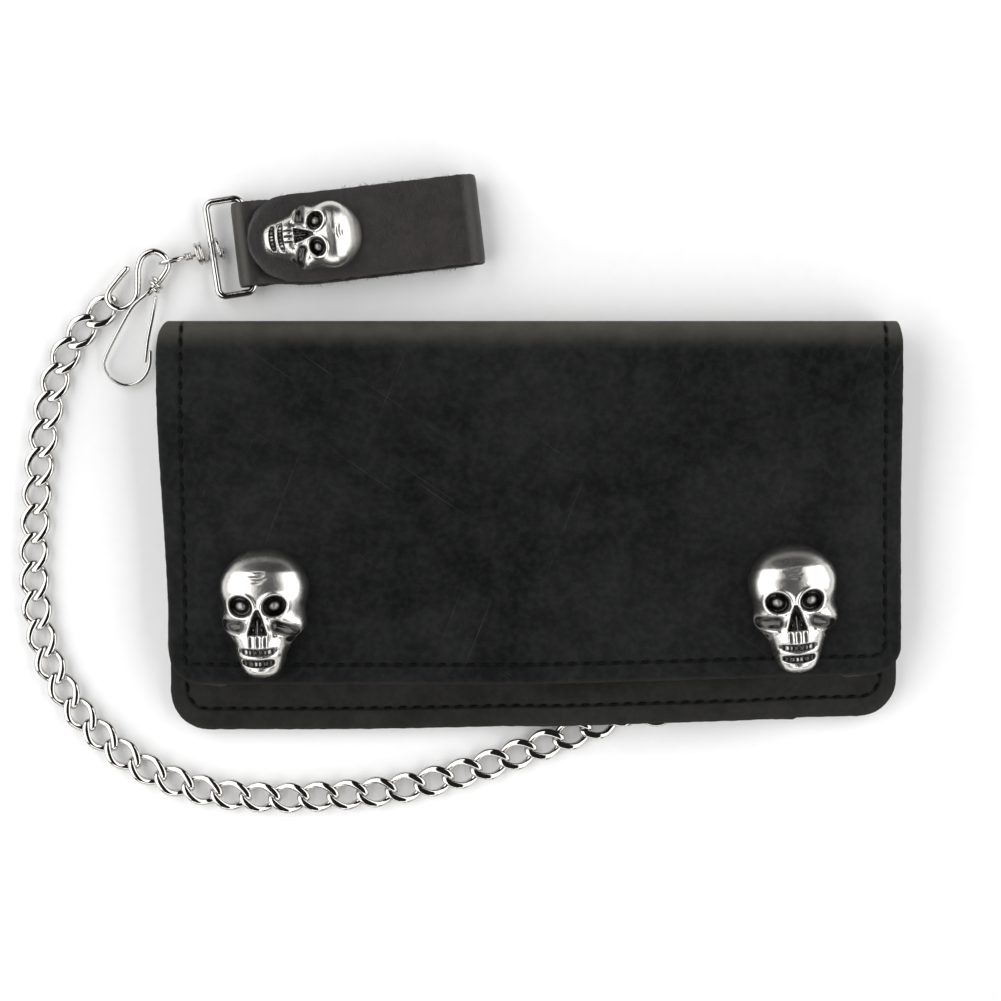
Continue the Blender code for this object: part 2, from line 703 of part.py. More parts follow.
RING_BAR = Vector((math.cos(math.radians(RING_ANGLE)), math.sin(math.radians(RING_ANGLE)), 0)) * RING_WIDTH / 2
RING_CENTRE = Vector((*RING_AT, RING_Z))
PIVOTS = {
    "spine_fold": ((0, HALF_D, 0), ["spine_panel"]),
    "cover_fold": (
        (0, HALF_D, COVER_TOP),
        ["front_cover", "cover_lining", *pocket_names, "left_snap_cap", "left_snap_socket",
         "right_snap_cap", "right_snap_socket"],
    ),
    "chain_bend_lower": ((-112.2, -52.2, CHAIN_Z), ["chain_middle"]),
    "chain_bend_upper": ((-125.9, 3.0, CHAIN_Z), ["chain_upper"]),
    "hook_swing": ((*by_corner(-14.7, 5.1), HOOK_Z), ["hook", "key_clip"]),
    "latch_flex": ((*by_corner(-2.9, 4.5), clip_height(4.5)), ["clip_latch"]),
    "link_swing": ((*by_corner(0.1, 15.6), HOOK_Z), ["coil_link"]),
    "ring_swing": (tuple(RING_CENTRE - RING_BAR), ["strap_ring"]),
    "strap_swing": (
        tuple(RING_CENTRE + RING_BAR), ["belt_strap", "belt_snap_stud", "belt_snap_eyelet"]
    ),
    "belt_fold": ((*in_strap(STRAP_LENGTH, 0), 0), ["belt_bend"]),
    "flap_fold": ((*in_strap(STRAP_LENGTH, 0), FLAP_TOP), ["belt_flap", "belt_snap_cap", "belt_snap_socket"]),
}
for joint, (position, names) in PIVOTS.items():
    pivot = bpy.data.objects.new(f"pivot_{joint}", None)
    pivot.location = Vector(position) * MM
    pivot.empty_display_size = 0.01
    PARTS.objects.link(pivot)
    for name in names:
        part = bpy.data.objects[name]
        part.data.transform(Matrix.Translation(-pivot.location))
        part.parent = pivot
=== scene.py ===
import math

import bpy
import numpy as np
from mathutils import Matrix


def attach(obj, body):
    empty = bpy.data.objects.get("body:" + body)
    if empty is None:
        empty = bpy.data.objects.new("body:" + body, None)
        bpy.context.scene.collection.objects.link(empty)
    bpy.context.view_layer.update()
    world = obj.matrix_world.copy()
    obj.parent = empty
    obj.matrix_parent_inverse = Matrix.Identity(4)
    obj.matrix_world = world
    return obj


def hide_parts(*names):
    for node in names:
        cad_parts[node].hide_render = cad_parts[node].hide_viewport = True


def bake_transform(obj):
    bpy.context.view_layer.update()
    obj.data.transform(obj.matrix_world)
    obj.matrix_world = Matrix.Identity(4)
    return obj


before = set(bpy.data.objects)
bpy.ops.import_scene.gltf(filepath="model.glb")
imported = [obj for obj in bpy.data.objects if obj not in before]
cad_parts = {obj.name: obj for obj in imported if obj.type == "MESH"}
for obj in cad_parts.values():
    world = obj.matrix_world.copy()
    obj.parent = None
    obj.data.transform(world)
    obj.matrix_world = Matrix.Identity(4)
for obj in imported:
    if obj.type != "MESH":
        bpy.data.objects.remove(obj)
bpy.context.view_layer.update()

# Lengths below are in millimetres, and become metres when a mesh is made.
MM = 0.001
HALF_W = 92.5
HALF_D = 50.5
FLAP_LOW = -40.7
SPINE_BEND = 5.5
BACK_LEATHER = 1.8
FRONT_TOP = 15.1
MID_SPINE = 7.55
PANEL_LEATHER = 1.2
THIN_LEATHER = 0.6
STITCH_PITCH = 3.6
FLAP_CORNER = 7.5
BODY_CORNER = 9.5
SPINE_START = 45
SNAP_AT = (65.6, -21.7)
SEAM_IN = 4.2
FLAP_SEAM_UP = 4.8
FLAP_SEAM_ROUND = (0.4, 3.0)
BODY_SEAM_UP = 5.0
BODY_SEAM_ROUND = 5.0
STRAP_AT = (-75.0, 70.1)
STRAP_TURN = math.radians(6.7)
STRAP_LEATHER = 1.7
STRAP_HALF = 10.6
STRAP_TOP = 9.3
NO_SEAM = 9
LINK_PITCH = 7.4
LINK_WIRE = 1.85
CHAIN_Z = 1.5
HOOK_Z = 2.6

# camera, above the middle of the wallet and looking straight down

camera_data = bpy.data.cameras.new("camera")
camera_data.lens = 85
camera_data.sensor_width = 36
camera = bpy.data.objects.new("camera", camera_data)
camera.location = (-0.0073, 0.0052, 0.606)
bpy.context.scene.collection.objects.link(camera)
bpy.context.scene.camera = camera


# finishes


class Value:
    """A node's output; arithmetic on it adds Math nodes."""

    def __init__(self, finish, socket):
        self.finish, self.socket = finish, socket

    def math(self, operation, *others):
        inputs = {0: self, **{k + 1: other for k, other in enumerate(others)}}
        return self.finish.node("ShaderNodeMath", {"operation": operation}, inputs)

    def __add__(self, other):
        return self.math("ADD", other)

    def __sub__(self, other):
        return self.math("SUBTRACT", other)

    def __mul__(self, other):
        return self.math("MULTIPLY", other)

    __radd__, __rmul__ = __add__, __mul__

    def __rsub__(self, other):
        return self * -1 + other

    def ridge(self, width):
        """1 where the value is 0, falling away on both sides as e to the minus (value / width) squared."""
        scaled = self * (1 / width)
        return (scaled * scaled * -1).math("EXPONENT")

    def above(self, low, high):
        """0 below low, 1 above high and smooth between."""
        settings = {"interpolation_type": "SMOOTHSTEP"}
        return self.finish.node("ShaderNodeMapRange", settings, {0: self, 1: low, 2: high, 3: 0.0, 4: 1.0})


class Finish:
    """A surface finish: a shader and the nodes that feed it."""

    def __init__(self, name, **constants):
        self.material = bpy.data.materials.new(name)
        self.material.use_nodes = True
        self.nodes, self.links = self.material.node_tree.nodes, self.material.node_tree.links
        self.shader = self.nodes["Principled BSDF"]
        for socket, value in constants.items():
            self.shader.inputs[socket.replace("_", " ")].default_value = value

    def node(self, kind, settings=None, inputs=None, output=0):
        """Any node: its settings first, then its inputs, each a value or another node's output."""
        node = self.nodes.new(kind)
        for key, value in (settings or {}).items():
            setattr(node, key, value)
        for key, value in (inputs or {}).items():
            self.fill(node.inputs[key], value)
        return Value(self, node.outputs[output])

    def fill(self, socket, value):
        if isinstance(value, Value):
            self.links.new(value.socket, socket)
        else:
            socket.default_value = value

    def place(self, scale=(1, 1, 1), turn=0.0):
        """The point on the object, in metres, stretched and turned about Z for a pattern."""
        point = self.node("ShaderNodeTexCoord", output="Object")
        inputs = {"Vector": point, "Scale": scale, "Rotation": (0, 0, turn)}
        return self.node("ShaderNodeMapping", inputs=inputs)

    def noise(self, scale, detail=2.0, place=None):
        inputs = {"Vector": place or self.place(), "Scale": scale, "Detail": detail}
        return self.node("ShaderNodeTexNoise", inputs=inputs)

    def cells(self, scale):
        inputs = {"Vector": self.place(), "Scale": scale}
        return self.node("ShaderNodeTexVoronoi", {"feature": "F1"}, inputs)

    def scratches(self, turn, stretch, low, high):
        """Thin lines: noise that is stretched along one direction and cut near its top."""
        inputs = {"Vector": self.place(turn=turn), "Scale": (stretch / 60, stretch, stretch)}
        return self.noise(1.0, 3.0, self.node("ShaderNodeMapping", inputs=inputs)).above(low, high)

    def attribute(self, name):
        return self.node("ShaderNodeAttribute", {"attribute_name": name}, output="Fac")

    def mix(self, share, first, second):
        """first where share is 0 and second where it is 1; both are colours."""
        first, second = ((*c, 1) if isinstance(c, tuple) else c for c in (first, second))
        return self.node("ShaderNodeMix", {"data_type": "RGBA"}, {0: share, 6: first, 7: second}, output=2)

    def surface(self, colour=None, roughness=None, height=None, depth=0.2):
        """Feeds the shader; height is in shares of depth, which is in millimetres."""
        if colour is not None:
            self.fill(self.shader.inputs["Base Color"], colour)
        if roughness is not None:
            self.fill(self.shader.inputs["Roughness"], roughness)
        if height is not None:
            bump = self.node("ShaderNodeBump", inputs={"Height": height, "Distance": depth * MM})
            self.fill(self.shader.inputs["Normal"], bump)
        return self.material


def leather_finish(name, dark, light, bend_light, rough, gloss, grain, scuffs):
    """Waxed leather: patches of two tones, fine pores, faint scratches, a sunk seam with painted shade in its
    groove, a bend painted lighter and warmer as painted light, a rubbed edge, a raw fibrous rim and a napped
    flesh side."""
    f = Finish(name, Specular_IOR_Level=gloss)
    patches = f.noise(38, 4.0).above(0.35, 0.72)
    clouds, flecks = f.noise(170, 5.0), f.noise(620, 4.0).above(0.36, 0.68)
    pores = f.cells(grain)
    fine = f.noise(4200, 3.0)
    lines = f.scratches(0.6, 1500, 0.66, 0.82) + f.scratches(-1.2, 1200, 0.66, 0.82)
    edge, seam = f.attribute("edge"), f.attribute("seam")
    raw, flesh, bend = f.attribute("raw"), f.attribute("flesh"), f.attribute("bend")
    colour = f.mix(patches * 0.4 + clouds.above(0.3, 0.7) * 0.3 + flecks * 0.3, dark, light)
    # painted light: where the leather turns over a bend, its colour is painted lighter and warmer
    colour = f.mix(bend * (0.55 + clouds * 0.6), colour, bend_light)
    colour = f.mix(lines * scuffs * clouds, colour, (0.042, 0.041, 0.039))
    colour = f.mix(edge.ridge(0.6) * 0.4, colour, (0.030, 0.029, 0.027))
    # painted shade: the colour goes near black along the sunk stitch groove
    colour = f.mix(seam.ridge(0.5) * 0.7, colour, (0.004, 0.004, 0.004))
    fibres = f.noise(1600, 4.0)
    colour = f.mix(raw * (0.35 + fibres * 0.6), colour, (0.05, 0.044, 0.038))
    colour = f.mix(flesh, colour, f.mix(fibres, (0.012, 0.011, 0.01), (0.045, 0.04, 0.036)))
    roughness = rough + clouds * 0.16 - patches * 0.05 + raw * 0.25 + flesh * 0.3
    height = pores * 0.3 + fine * 0.25 + clouds * 0.7 - lines * 0.25 - seam.ridge(0.42) * 1.6
    height = height + (raw + flesh) * fibres * 1.2
    return f.surface(colour, roughness, height, 0.16)


def lining_finish():
    """Thin split leather: close nap, soft wrinkles and slightly rubbed edges."""
    f = Finish("lining", Specular_IOR_Level=0.3)
    nap, wrinkles = f.noise(2600, 4.0), f.noise(90, 5.0)
    colour = f.mix(wrinkles * 0.7 + nap * 0.3, (0.013, 0.0125, 0.012), (0.036, 0.034, 0.031))
    colour = f.mix(f.attribute("edge").ridge(0.7) * 0.5, colour, (0.07, 0.064, 0.056))
    return f.surface(colour, 0.72 + nap * 0.16, nap * 0.5 + wrinkles * 1.3, 0.14)


def pewter_finish():
    """Cast pewter rubbed bright, with dark patina left in its hollows and a sandy cast skin."""
    f = Finish("pewter", Specular_IOR_Level=0.9)
    hollow, sand, cloud = f.attribute("hollow"), f.noise(3400, 4.0), f.noise(240, 3.0)
    dirt = (hollow * 1.25 + sand * 0.25 - 0.16).above(0.0, 0.62)
    colour = f.mix(cloud, (0.60, 0.585, 0.55), (0.80, 0.785, 0.75))
    colour = f.mix(dirt, colour, (0.009, 0.0075, 0.006))
    f.fill(f.shader.inputs["Metallic"], 1 - dirt * 0.9)
    return f.surface(colour, 0.22 + cloud * 0.08 - dirt * 0.14, sand * 0.7 + cloud * 0.3, 0.05)


def nickel_finish(name, tone, rough):
    """Plated wire: near mirror, with drawing lines and light handling wear."""
    f = Finish(name, Metallic=1.0)
    wear, lines = f.noise(420, 4.0), f.noise(1.0, 3.0, f.place((260, 5200, 5200)))
    colour = f.mix(wear.above(0.35, 0.8), tone, tuple(0.84 * c for c in tone))
    return f.surface(colour, rough + wear * 0.05 + lines * 0.03, lines * 0.4 + wear * 0.6, 0.012)


def thread_finish():
    """Waxed black thread: two plies that wind along each stitch."""
    f = Finish("thread", Specular_IOR_Level=0.08)
    ply = f.node("ShaderNodeTexWave", {"bands_direction": "DIAGONAL"}, {"Vector": f.place(), "Scale": 420.0})
    colour = f.mix(ply, (0.0010, 0.0010, 0.0010), (0.0035, 0.0034, 0.0033))
    return f.surface(colour, 0.55 + ply * 0.15, ply, 0.12)


def floor_finish():
    """Matt white paper with a trace of tooth."""
    f = Finish("floor", Specular_IOR_Level=0.1)
    tooth = f.noise(300, 2.0)
    return f.surface(f.mix(tooth, (0.90, 0.90, 0.90), (0.93, 0.93, 0.93)), 0.9 - tooth * 0.05)


# In both leathers, the lighter and warmer colour given for bends is painted light on the bends.
WALLET_LEATHER = leather_finish(
    "wallet_leather", dark=(0.0010, 0.0013, 0.0018), light=(0.0158, 0.0162, 0.0160),
    bend_light=(0.080, 0.076, 0.065), rough=0.60, gloss=0.09, grain=1500, scuffs=0.9,
)
BELT_LEATHER = leather_finish(
    "belt_leather", dark=(0.0070, 0.0055, 0.0054), light=(0.0240, 0.0200, 0.0190),
    bend_light=(0.036, 0.033, 0.026), rough=0.40, gloss=0.45, grain=1900, scuffs=0.4,
)
LINING = lining_finish()
PEWTER = pewter_finish()
NICKEL = nickel_finish("nickel", (0.60, 0.585, 0.56), 0.03)
FITTING = nickel_finish("fitting", (0.70, 0.67, 0.60), 0.2)
THREAD = thread_finish()


# meshes


def smooth(t):
    """0 below 0, 1 above 1, and 3t squared less 2t cubed between."""
    t = np.clip(t, 0, 1)
    return t * t * (3 - 2 * t)


def unit(vectors):
    return vectors / np.maximum(np.linalg.norm(vectors, axis=-1, keepdims=True), 1e-9)


def quads(rows, columns, wrap_rows=False, wrap_columns=False):
    """Faces of a grid of points numbered row by row. They face along columns x rows."""
    r, c = np.meshgrid(
        np.arange(rows - (not wrap_rows)), np.arange(columns - (not wrap_columns)), indexing="ij"
    )
    r, c = r.ravel(), c.ravel()
    up, right = (r + 1) % rows, (c + 1) % columns
    return np.stack([r * columns + c, r * columns + right, up * columns + right, up * columns + c], 1)


def border(rows, columns):
    """The points round the outside of such a grid, in order."""
    index = np.arange(rows * columns).reshape(rows, columns)
    return np.concatenate([index[0, :-1], index[:-1, -1], index[-1, :0:-1], index[:0:-1, 0]])


def repeated(faces, count, size):
    """The faces of count copies of a small piece that has size points."""
    return (faces[None] + size * np.arange(count)[:, None, None]).reshape(-1, 4).tolist()


def ridge(distance, width):
    """1 where the distance is 0, falling away as e to the minus (distance / width) squared."""
    return np.exp(-((distance / width) ** 2))


def spot(x, y, at, size):
    """1 at a point, falling away as e to the minus (dx / size x) squared less (dy / size y) squared."""
    return np.exp(-(((x - at[0]) / size[0]) ** 2) - ((y - at[1]) / size[1]) ** 2)


def piece(name, points, faces, finish, slot, body=None, stands_for=(), marks=None):
    """An object at the origin. faces is a list of index lists, and marks are values kept per point."""
    mesh = bpy.data.meshes.new(name)
    mesh.from_pydata((np.asarray(points).reshape(-1, 3) * MM).tolist(), [], faces)
    for key, values in (marks or {}).items():
        layer = mesh.attributes.new(key, "FLOAT", "POINT")
        layer.data.foreach_set("value", np.asarray(values, np.float32).ravel())
    mesh.shade_smooth()
    mesh.materials.append(finish)
    obj = bpy.data.objects.new(name, mesh)
    bpy.context.scene.collection.objects.link(obj)
    if body:
        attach(obj, body)
    if stands_for:
        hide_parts(*stands_for)
    return obj


def through(route, per_span=8):
    """A smooth line through the route's points: on each span, the cubic whose slope at a point is half
    the step between its neighbours."""
    p = np.asarray(route, float)
    p = np.vstack([2 * p[0] - p[1], p, 2 * p[-1] - p[-2]])
    t = np.linspace(0, 1, per_span, endpoint=False)[None, :, None]
    a, b, c, d = (p[k : len(p) - 3 + k, None] for k in range(4))
    line = b + t * (c - a) / 2 + t**2 * (2 * a - 5 * b + 4 * c - d) / 2 + t**3 * (3 * b - a - 3 * c + d) / 2
    return np.vstack([line.reshape(-1, p.shape[1]), p[-2:-1]])


def walked(line):
    """Distance along a line at each of its points."""
    return np.concatenate([[0], np.cumsum(np.linalg.norm(np.diff(line, axis=0), axis=1))])


def stations(line, distances):
    """Points and directions at the given distances along a line."""
    far = walked(line)
    slopes = np.gradient(line, far, axis=0)
    at = np.stack([np.interp(distances, far, line[:, k]) for k in range(line.shape[1])], 1)
    way = np.stack([np.interp(distances, far, slopes[:, k]) for k in range(line.shape[1])], 1)
    return at, unit(way)


def turned_by(points, angle, at=(0, 0, 0)):
    """Points turned about Z by an angle in radians and then moved."""
    c, s = math.cos(angle), math.sin(angle)
    return np.asarray(points) @ np.array([[c, s, 0], [-s, c, 0], [0, 0, 1]]) + np.asarray(at)


def wire(line, radius, sides=16, closed=False, side_hint=None):
    """Round wire. Each ring is a point of the line plus radius (across cos t + over sin t), where across
    and over are square to the line; an open wire carries them along without twist and has domed ends."""
    line = np.asarray(line, float)
    if closed:
        way = unit(np.roll(line, -1, 0) - np.roll(line, 1, 0))
        across = unit(np.cross(way, side_hint))
        radii = np.full(len(line), radius)
    else:
        way = unit(np.gradient(line, axis=0))
        dome = np.sin(np.radians([3, 35, 65]))
        reach = radius * np.cos(np.radians([3, 35, 65]))[:, None]
        line = np.vstack([line[0] - way[0] * reach, line, (line[-1] + way[-1] * reach)[::-1]])
        way = np.vstack([np.repeat(way[:1], 3, 0), way, np.repeat(way[-1:], 3, 0)])
        radii = radius * np.concatenate([dome, np.ones(len(line) - 6), dome[::-1]])
        across = np.empty_like(way)
        across[0] = unit(np.cross(way[0], (0, 0, 1) if abs(way[0][2]) < 0.9 else (1, 0, 0)))
        for k in range(1, len(way)):
            across[k] = unit(across[k - 1] - way[k] * (across[k - 1] @ way[k]))
    over = np.cross(way, across)
    t = np.linspace(0, math.tau, sides, endpoint=False)[None, :, None]
    rings = line[:, None] + radii[:, None, None] * (across[:, None] * np.cos(t) + over[:, None] * np.sin(t))
    faces = quads(len(line), sides, wrap_rows=closed, wrap_columns=True).tolist()
    if not closed:
        last = (len(line) - 1) * sides
        faces += [list(range(sides))[::-1], list(range(last, last + sides))]
    return rings.reshape(-1, 3), faces


def together(parts):
    """Several lots of points and faces as one."""
    points, faces, start = [], [], 0
    for p, f in parts:
        points.append(p)
        faces += [[i + start for i in face] for face in f]
        start += len(p)
    return np.vstack(points), faces


# chain: three lengths of twisted curb links, which meet where it bends

CHAIN_UPPER = [
    (-106.7, 56.0), (-111.6, 51.4), (-114.6, 48.2), (-118.4, 42.7), (-120.9, 36.5), (-122.7, 29.4),
    (-124.0, 22.2), (-125.1, 14.5), (-125.8, 7.5), (-125.9, 3.0),
]
CHAIN_MIDDLE = [
    (-125.9, 3.0), (-126.3, -1.5), (-126.6, -8.1), (-126.5, -15.6), (-125.8, -23.0), (-124.5, -30.2),
    (-122.2, -37.3), (-118.9, -43.4), (-114.9, -49.2), (-112.2, -52.2),
]
CHAIN_LOWER = [
    (-112.2, -52.2), (-109.0, -55.3), (-103.4, -60.0), (-97.1, -63.8), (-90.1, -66.8), (-82.7, -69.0),
    (-75.2, -70.2), (-67.7, -70.7), (-60.4, -70.8), (-52.9, -70.4), (-45.3, -69.9), (-37.8, -69.2),
    (-30.4, -67.9), (-23.1, -66.2), (-16.0, -64.2), (-9.1, -61.9), (-2.5, -59.5), (4.4, -57.0),
    (10.9, -54.6), (17.6, -51.9), (22.6, -49.6), (28.0, -46.8),
]


def curb_link():
    """One link: an oval (4.55 cos t, 3.08 sin t) whose plane turns about the chain by 11.5 degrees a
    millimetre, so its two ends stand square to each other. Pressing flattens its faces: the height z becomes
    1.5 tanh (z / 1.5)."""
    t = np.linspace(0, math.tau, 40, endpoint=False)
    x, y = 4.55 * np.cos(t), 3.08 * np.sin(t)
    twist = np.radians(11.5) * x
    line = np.stack([x, y * np.cos(twist), 0.8 * y * np.sin(twist)], 1)
    hint = np.stack([np.zeros(40), -np.sin(twist), np.cos(twist)], 1)
    points, faces = wire(line, LINK_WIRE / 2, 12, closed=True, side_hint=hint)
    points[:, 2] = 1.5 * np.tanh(points[:, 2] / 1.5)
    return points, faces


def chain_length(name, route, body, node):
    """Links set end to end along the route, each turned to the route at its middle."""
    line = through([(x, y, CHAIN_Z) for x, y in route])
    length = walked(line)[-1]
    count = round(length / LINK_PITCH)
    at, way = stations(line, (np.arange(count) + 0.5) * length / count)
    points, faces = curb_link()
    stretch = np.array([length / count / LINK_PITCH, 1, 1])
    links = [(turned_by(points * stretch, math.atan2(w[1], w[0]), p), faces) for p, w in zip(at, way)]
    obj = piece(name, *together(links), NICKEL, "nickel", body, (node,))
    return obj, line * MM, length * MM


lower_links, lower_line, lower_long = chain_length(
    "chain_lower_links", CHAIN_LOWER, "wallet", "chain_lower"
)
middle_links, middle_line, middle_long = chain_length(
    "chain_middle_links", CHAIN_MIDDLE, "chain_mid", "chain_middle"
)
upper_links, upper_line, upper_long = chain_length(
    "chain_upper_links", CHAIN_UPPER, "chain_top", "chain_upper"
)


# wallet leather


def lift(x, y):
    """How far the lower edge is raised by the ring under it, from the distance to the ring's tab."""
    ax, ay, bx, by = 16.0, -53.3, 45.0, -41.9
    t = np.clip(((x - ax) * (bx - ax) + (y - ay) * (by - ay)) / ((bx - ax) ** 2 + (by - ay) ** 2), 0, 1)
    gap = np.hypot(x - ax - t * (bx - ax), y - ay - t * (by - ay))
    return 4.5 * (1 - smooth((gap - 8) / 16))


def droop(x, y):
    """The flap sinks by 3.2 towards its two sides, below the spine."""
    return 3.2 * smooth((np.abs(x) - 78) / 14.5) * smooth((40 - y) / 40)


def from_edge(dx, dy, radius):
    """Distance in from the edge of a shape with one rounded corner, dx from its side, dy from its foot."""
    qx, qy = radius - dx, radius - dy
    return radius - np.hypot(np.maximum(qx, 0), np.maximum(qy, 0)) - np.minimum(np.maximum(qx, qy), 0)


def corner_steps(radius, end, cell):
    """Places up a side that starts with a rounded corner: even angles round it, then even steps."""
    round_part = radius * (1 - np.cos(np.linspace(0, math.pi / 2, 11)))
    return np.concatenate([round_part[:-1], np.linspace(radius, end, int(round((end - radius) / cell)) + 1)])


def side_at(s, radius, half=HALF_W):
    """Half width at distance s up from the foot, with rounded corners."""
    return half - radius + np.sqrt(np.maximum(radius**2 - np.maximum(radius - s, 0) ** 2, 0))


def sheet_of(name, skin, thickness, finish, slot, body, stands_for, marks, fray=0.05):
    """Leather from its finish side, a grid of points. The flesh side lies thickness below it along the
    normals, and three rings bulge and fray a little between the two."""
    rows, columns = skin.shape[:2]
    normal = unit(np.cross(np.gradient(skin, axis=1), np.gradient(skin, axis=0)))
    ring = border(rows, columns)
    top, over = skin.reshape(-1, 3), normal.reshape(-1, 3)
    way = unit(np.roll(top[ring], -1, 0) - np.roll(top[ring], 1, 0))
    out = unit(np.cross(way, over[ring]))
    far = walked(top[ring])
    rough = fray * (np.sin(far * 1.1 + 2 * np.sin(far * 0.23)) + np.sin(far * 5.3 + 3 * np.sin(far * 0.9)))
    levels, bulge = np.array([0.12, 0.5, 0.88]), np.array([0.09, 0.14, 0.09])
    rim = [
        top[ring] - over[ring] * thickness * level + out * (b + rough * (0.5 + level))[:, None]
        for level, b in zip(levels, bulge)
    ]
    n, m = len(top), len(ring)
    points = np.vstack([top, top - over * thickness, *rim])
    loops = [ring, *(2 * n + k * m + np.arange(m) for k in range(3)), n + ring]
    faces = quads(rows, columns).tolist() + (n + quads(rows, columns)[:, ::-1]).tolist()
    for upper, below in zip(loops, loops[1:]):
        band = [upper, below, np.roll(below, -1), np.roll(upper, -1)]
        faces += np.stack(band, 1).tolist()
    all_marks = {}
    for key, values in marks.items():
        flat = values.ravel()
        all_marks[key] = np.concatenate([flat, flat, flat[ring], flat[ring], flat[ring]])
    all_marks["raw"] = np.concatenate([np.zeros(2 * n), np.ones(3 * m)])
    all_marks["flesh"] = np.concatenate([np.zeros(n), np.ones(n), np.zeros(3 * m)])
    return piece(name, points, faces, finish, slot, body, stands_for, all_marks)


def foot_slant(x, y):
    """The body's foot hangs 2.5 low at its left and 1 high at its right, fading out above the middle."""
    return (3.9 * smooth((x + 60) / 185) - 2.5) * np.clip((8 - y) / (8 + HALF_D), 0, 1)


def side_taper(x, y, high, low):
    """Moves the left side out by high at the top and in by low at the foot, and the right side out
    by 0.9."""
    left = (low - (high + low) * smooth((y + 35) / 70)) * smooth((-x - 20) / 65)
    return left + 0.9 * smooth((x - 20) / 65)


def waves(x, y):
    """The slow unevenness of handled leather, within 0.2."""
    slow = 0.1 * np.sin(x / 17 + 1) * np.cos(y / 21)
    return slow + 0.06 * np.sin(x / 8.3 + y / 13) + 0.04 * np.sin(y / 6.1)


def front_skin(x, s):
    """Finish side of the flap at x across and s up from its foot: flat, then round the bend of the spine
    and half way down it. The foot slopes up to the right, the sides droop, and it dips at the snaps."""
    flat = SPINE_START - FLAP_LOW
    t = np.clip((s - flat) / SPINE_BEND, 0, math.pi / 2)
    y = np.where(s < flat, FLAP_LOW + s, SPINE_START + SPINE_BEND * np.sin(t))
    y = y + 2.5 * smooth((x + 12) / 110) * np.clip((8 - y) / (8 - FLAP_LOW), 0, 1)
    z = FRONT_TOP - SPINE_BEND * (1 - np.cos(t)) - np.maximum(s - flat - SPINE_BEND * math.pi / 2, 0)
    calm = smooth((46 - y) / 8)
    edge = from_edge(HALF_W - np.abs(x), s, FLAP_CORNER)
    z = z - droop(x, y) + waves(x, y) * calm - 0.3 * (1 - smooth(edge / 1.8)) * calm
    for snap_x in (-SNAP_AT[0], SNAP_AT[0]):
        z = z - 0.3 * spot(x, y, (snap_x, SNAP_AT[1]), (15, 18))
    return np.stack([x + side_taper(x, y, 1.0, 1.9), y, z], -1), edge


def flap_inset(x, s):
    """How far in from the sides the flap is stitched: 4.2, but on the left 2 more by the spine."""
    return SEAM_IN + 2.0 * smooth(s / 85) * (x < 0)


def flap_seam(x, s):
    """Distance to the flap's row of stitches, square at the left corner and a little round at the right."""
    corner = np.where(x < 0, *FLAP_SEAM_ROUND)
    return from_edge(HALF_W - np.abs(x) - flap_inset(x, s), s - FLAP_SEAM_UP, corner)


FRONT_LONG = SPINE_START - FLAP_LOW + SPINE_BEND * math.pi / 2 + FRONT_TOP - SPINE_BEND - MID_SPINE
BACK_LONG = SPINE_START + HALF_D + SPINE_BEND * math.pi / 2 + MID_SPINE - SPINE_BEND


def spread(rows_s, radius, spine_round):
    """x and s on a grid: even across, within the rounded corners at the foot and at the spine."""
    across = np.concatenate([[-1, -0.998, -0.9945], np.linspace(-0.988, 0.988, 149), [0.9945, 0.998, 1]])
    half = side_at(rows_s, radius)[:, None]
    far = rows_s[-1] - rows_s[:, None]
    left = half - spine_round * (1 - smooth(far / 17)) ** 2
    x = np.where(across < 0, across * left, across * (half - 0.4 * (left < half) * (half - left)))
    return x, np.repeat(rows_s[:, None], len(across), 1)


def spine_bend_light(skin):
    """How far the leather is bent, and so painted lighter and warmer as painted light on the bend, from 0 on
    the flat to 1 on the spine.
    """
    return smooth((skin[..., 1] - 42) / 8) ** 1.3


x, s = spread(corner_steps(FLAP_CORNER, FRONT_LONG, 1.15), FLAP_CORNER, 2.8)
skin, edge = front_skin(x, s)
front = sheet_of(
    "front_leather", skin, BACK_LEATHER, WALLET_LEATHER, "leather", None, ("front_cover",),
    {"edge": edge, "seam": flap_seam(x, s), "bend": spine_bend_light(skin)},
)
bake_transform(front)


def body_shape(x, y, z):
    """Points of the body with its tapered left side and its slanting foot."""
    return np.stack([x + side_taper(x, y, 0.0, 1.3), y + foot_slant(x, y), z], -1)


def back_skin(x, s):
    """Finish side of the back, which faces the table: flat but for the lift over the ring's tab, then
    round the lower bend of the spine and half way up it."""
    flat = SPINE_START + HALF_D
    t = np.clip((s - flat) / SPINE_BEND, 0, math.pi / 2)
    y = np.where(s < flat, s - HALF_D, SPINE_START + SPINE_BEND * np.sin(t))
    z = SPINE_BEND * (1 - np.cos(t)) + np.maximum(s - flat - SPINE_BEND * math.pi / 2, 0)
    z = z + lift(x, y)
    edge = from_edge(HALF_W - np.abs(x), s, BODY_CORNER)
    return body_shape(x, y, z), edge


def body_seam(x, s):
    return from_edge(HALF_W - np.abs(x) - SEAM_IN, s - BODY_SEAM_UP, BODY_SEAM_ROUND)


x, s = spread(corner_steps(BODY_CORNER, BACK_LONG, 1.5), BODY_CORNER, 1.9)
x = x[:, ::-1]
skin, edge = back_skin(x, s)
back = sheet_of(
    "back_leather", skin, BACK_LEATHER, WALLET_LEATHER, "leather", None, ("back_cover", "spine_panel"),
    {"edge": edge, "seam": body_seam(x, s), "bend": spine_bend_light(skin)},
)
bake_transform(back)


def panel_skin(x, s):
    """Finish side of the pocket panel: down at its stitched edges, and raised 4.3 inside them by what it
    holds, following the lift of the back along its foot."""
    y = s - HALF_D
    inner = smooth((np.minimum(HALF_W - np.abs(x), s) - 5.5) / 16)
    edge = from_edge(HALF_W - np.abs(x), s, BODY_CORNER)
    z = 4.2 + lift(x, y) * (1 - inner) + 4.3 * inner + 0.8 * waves(x, y) * inner
    z = z - 0.25 * (1 - smooth(edge / 1.6))
    return body_shape(x, y, z), edge


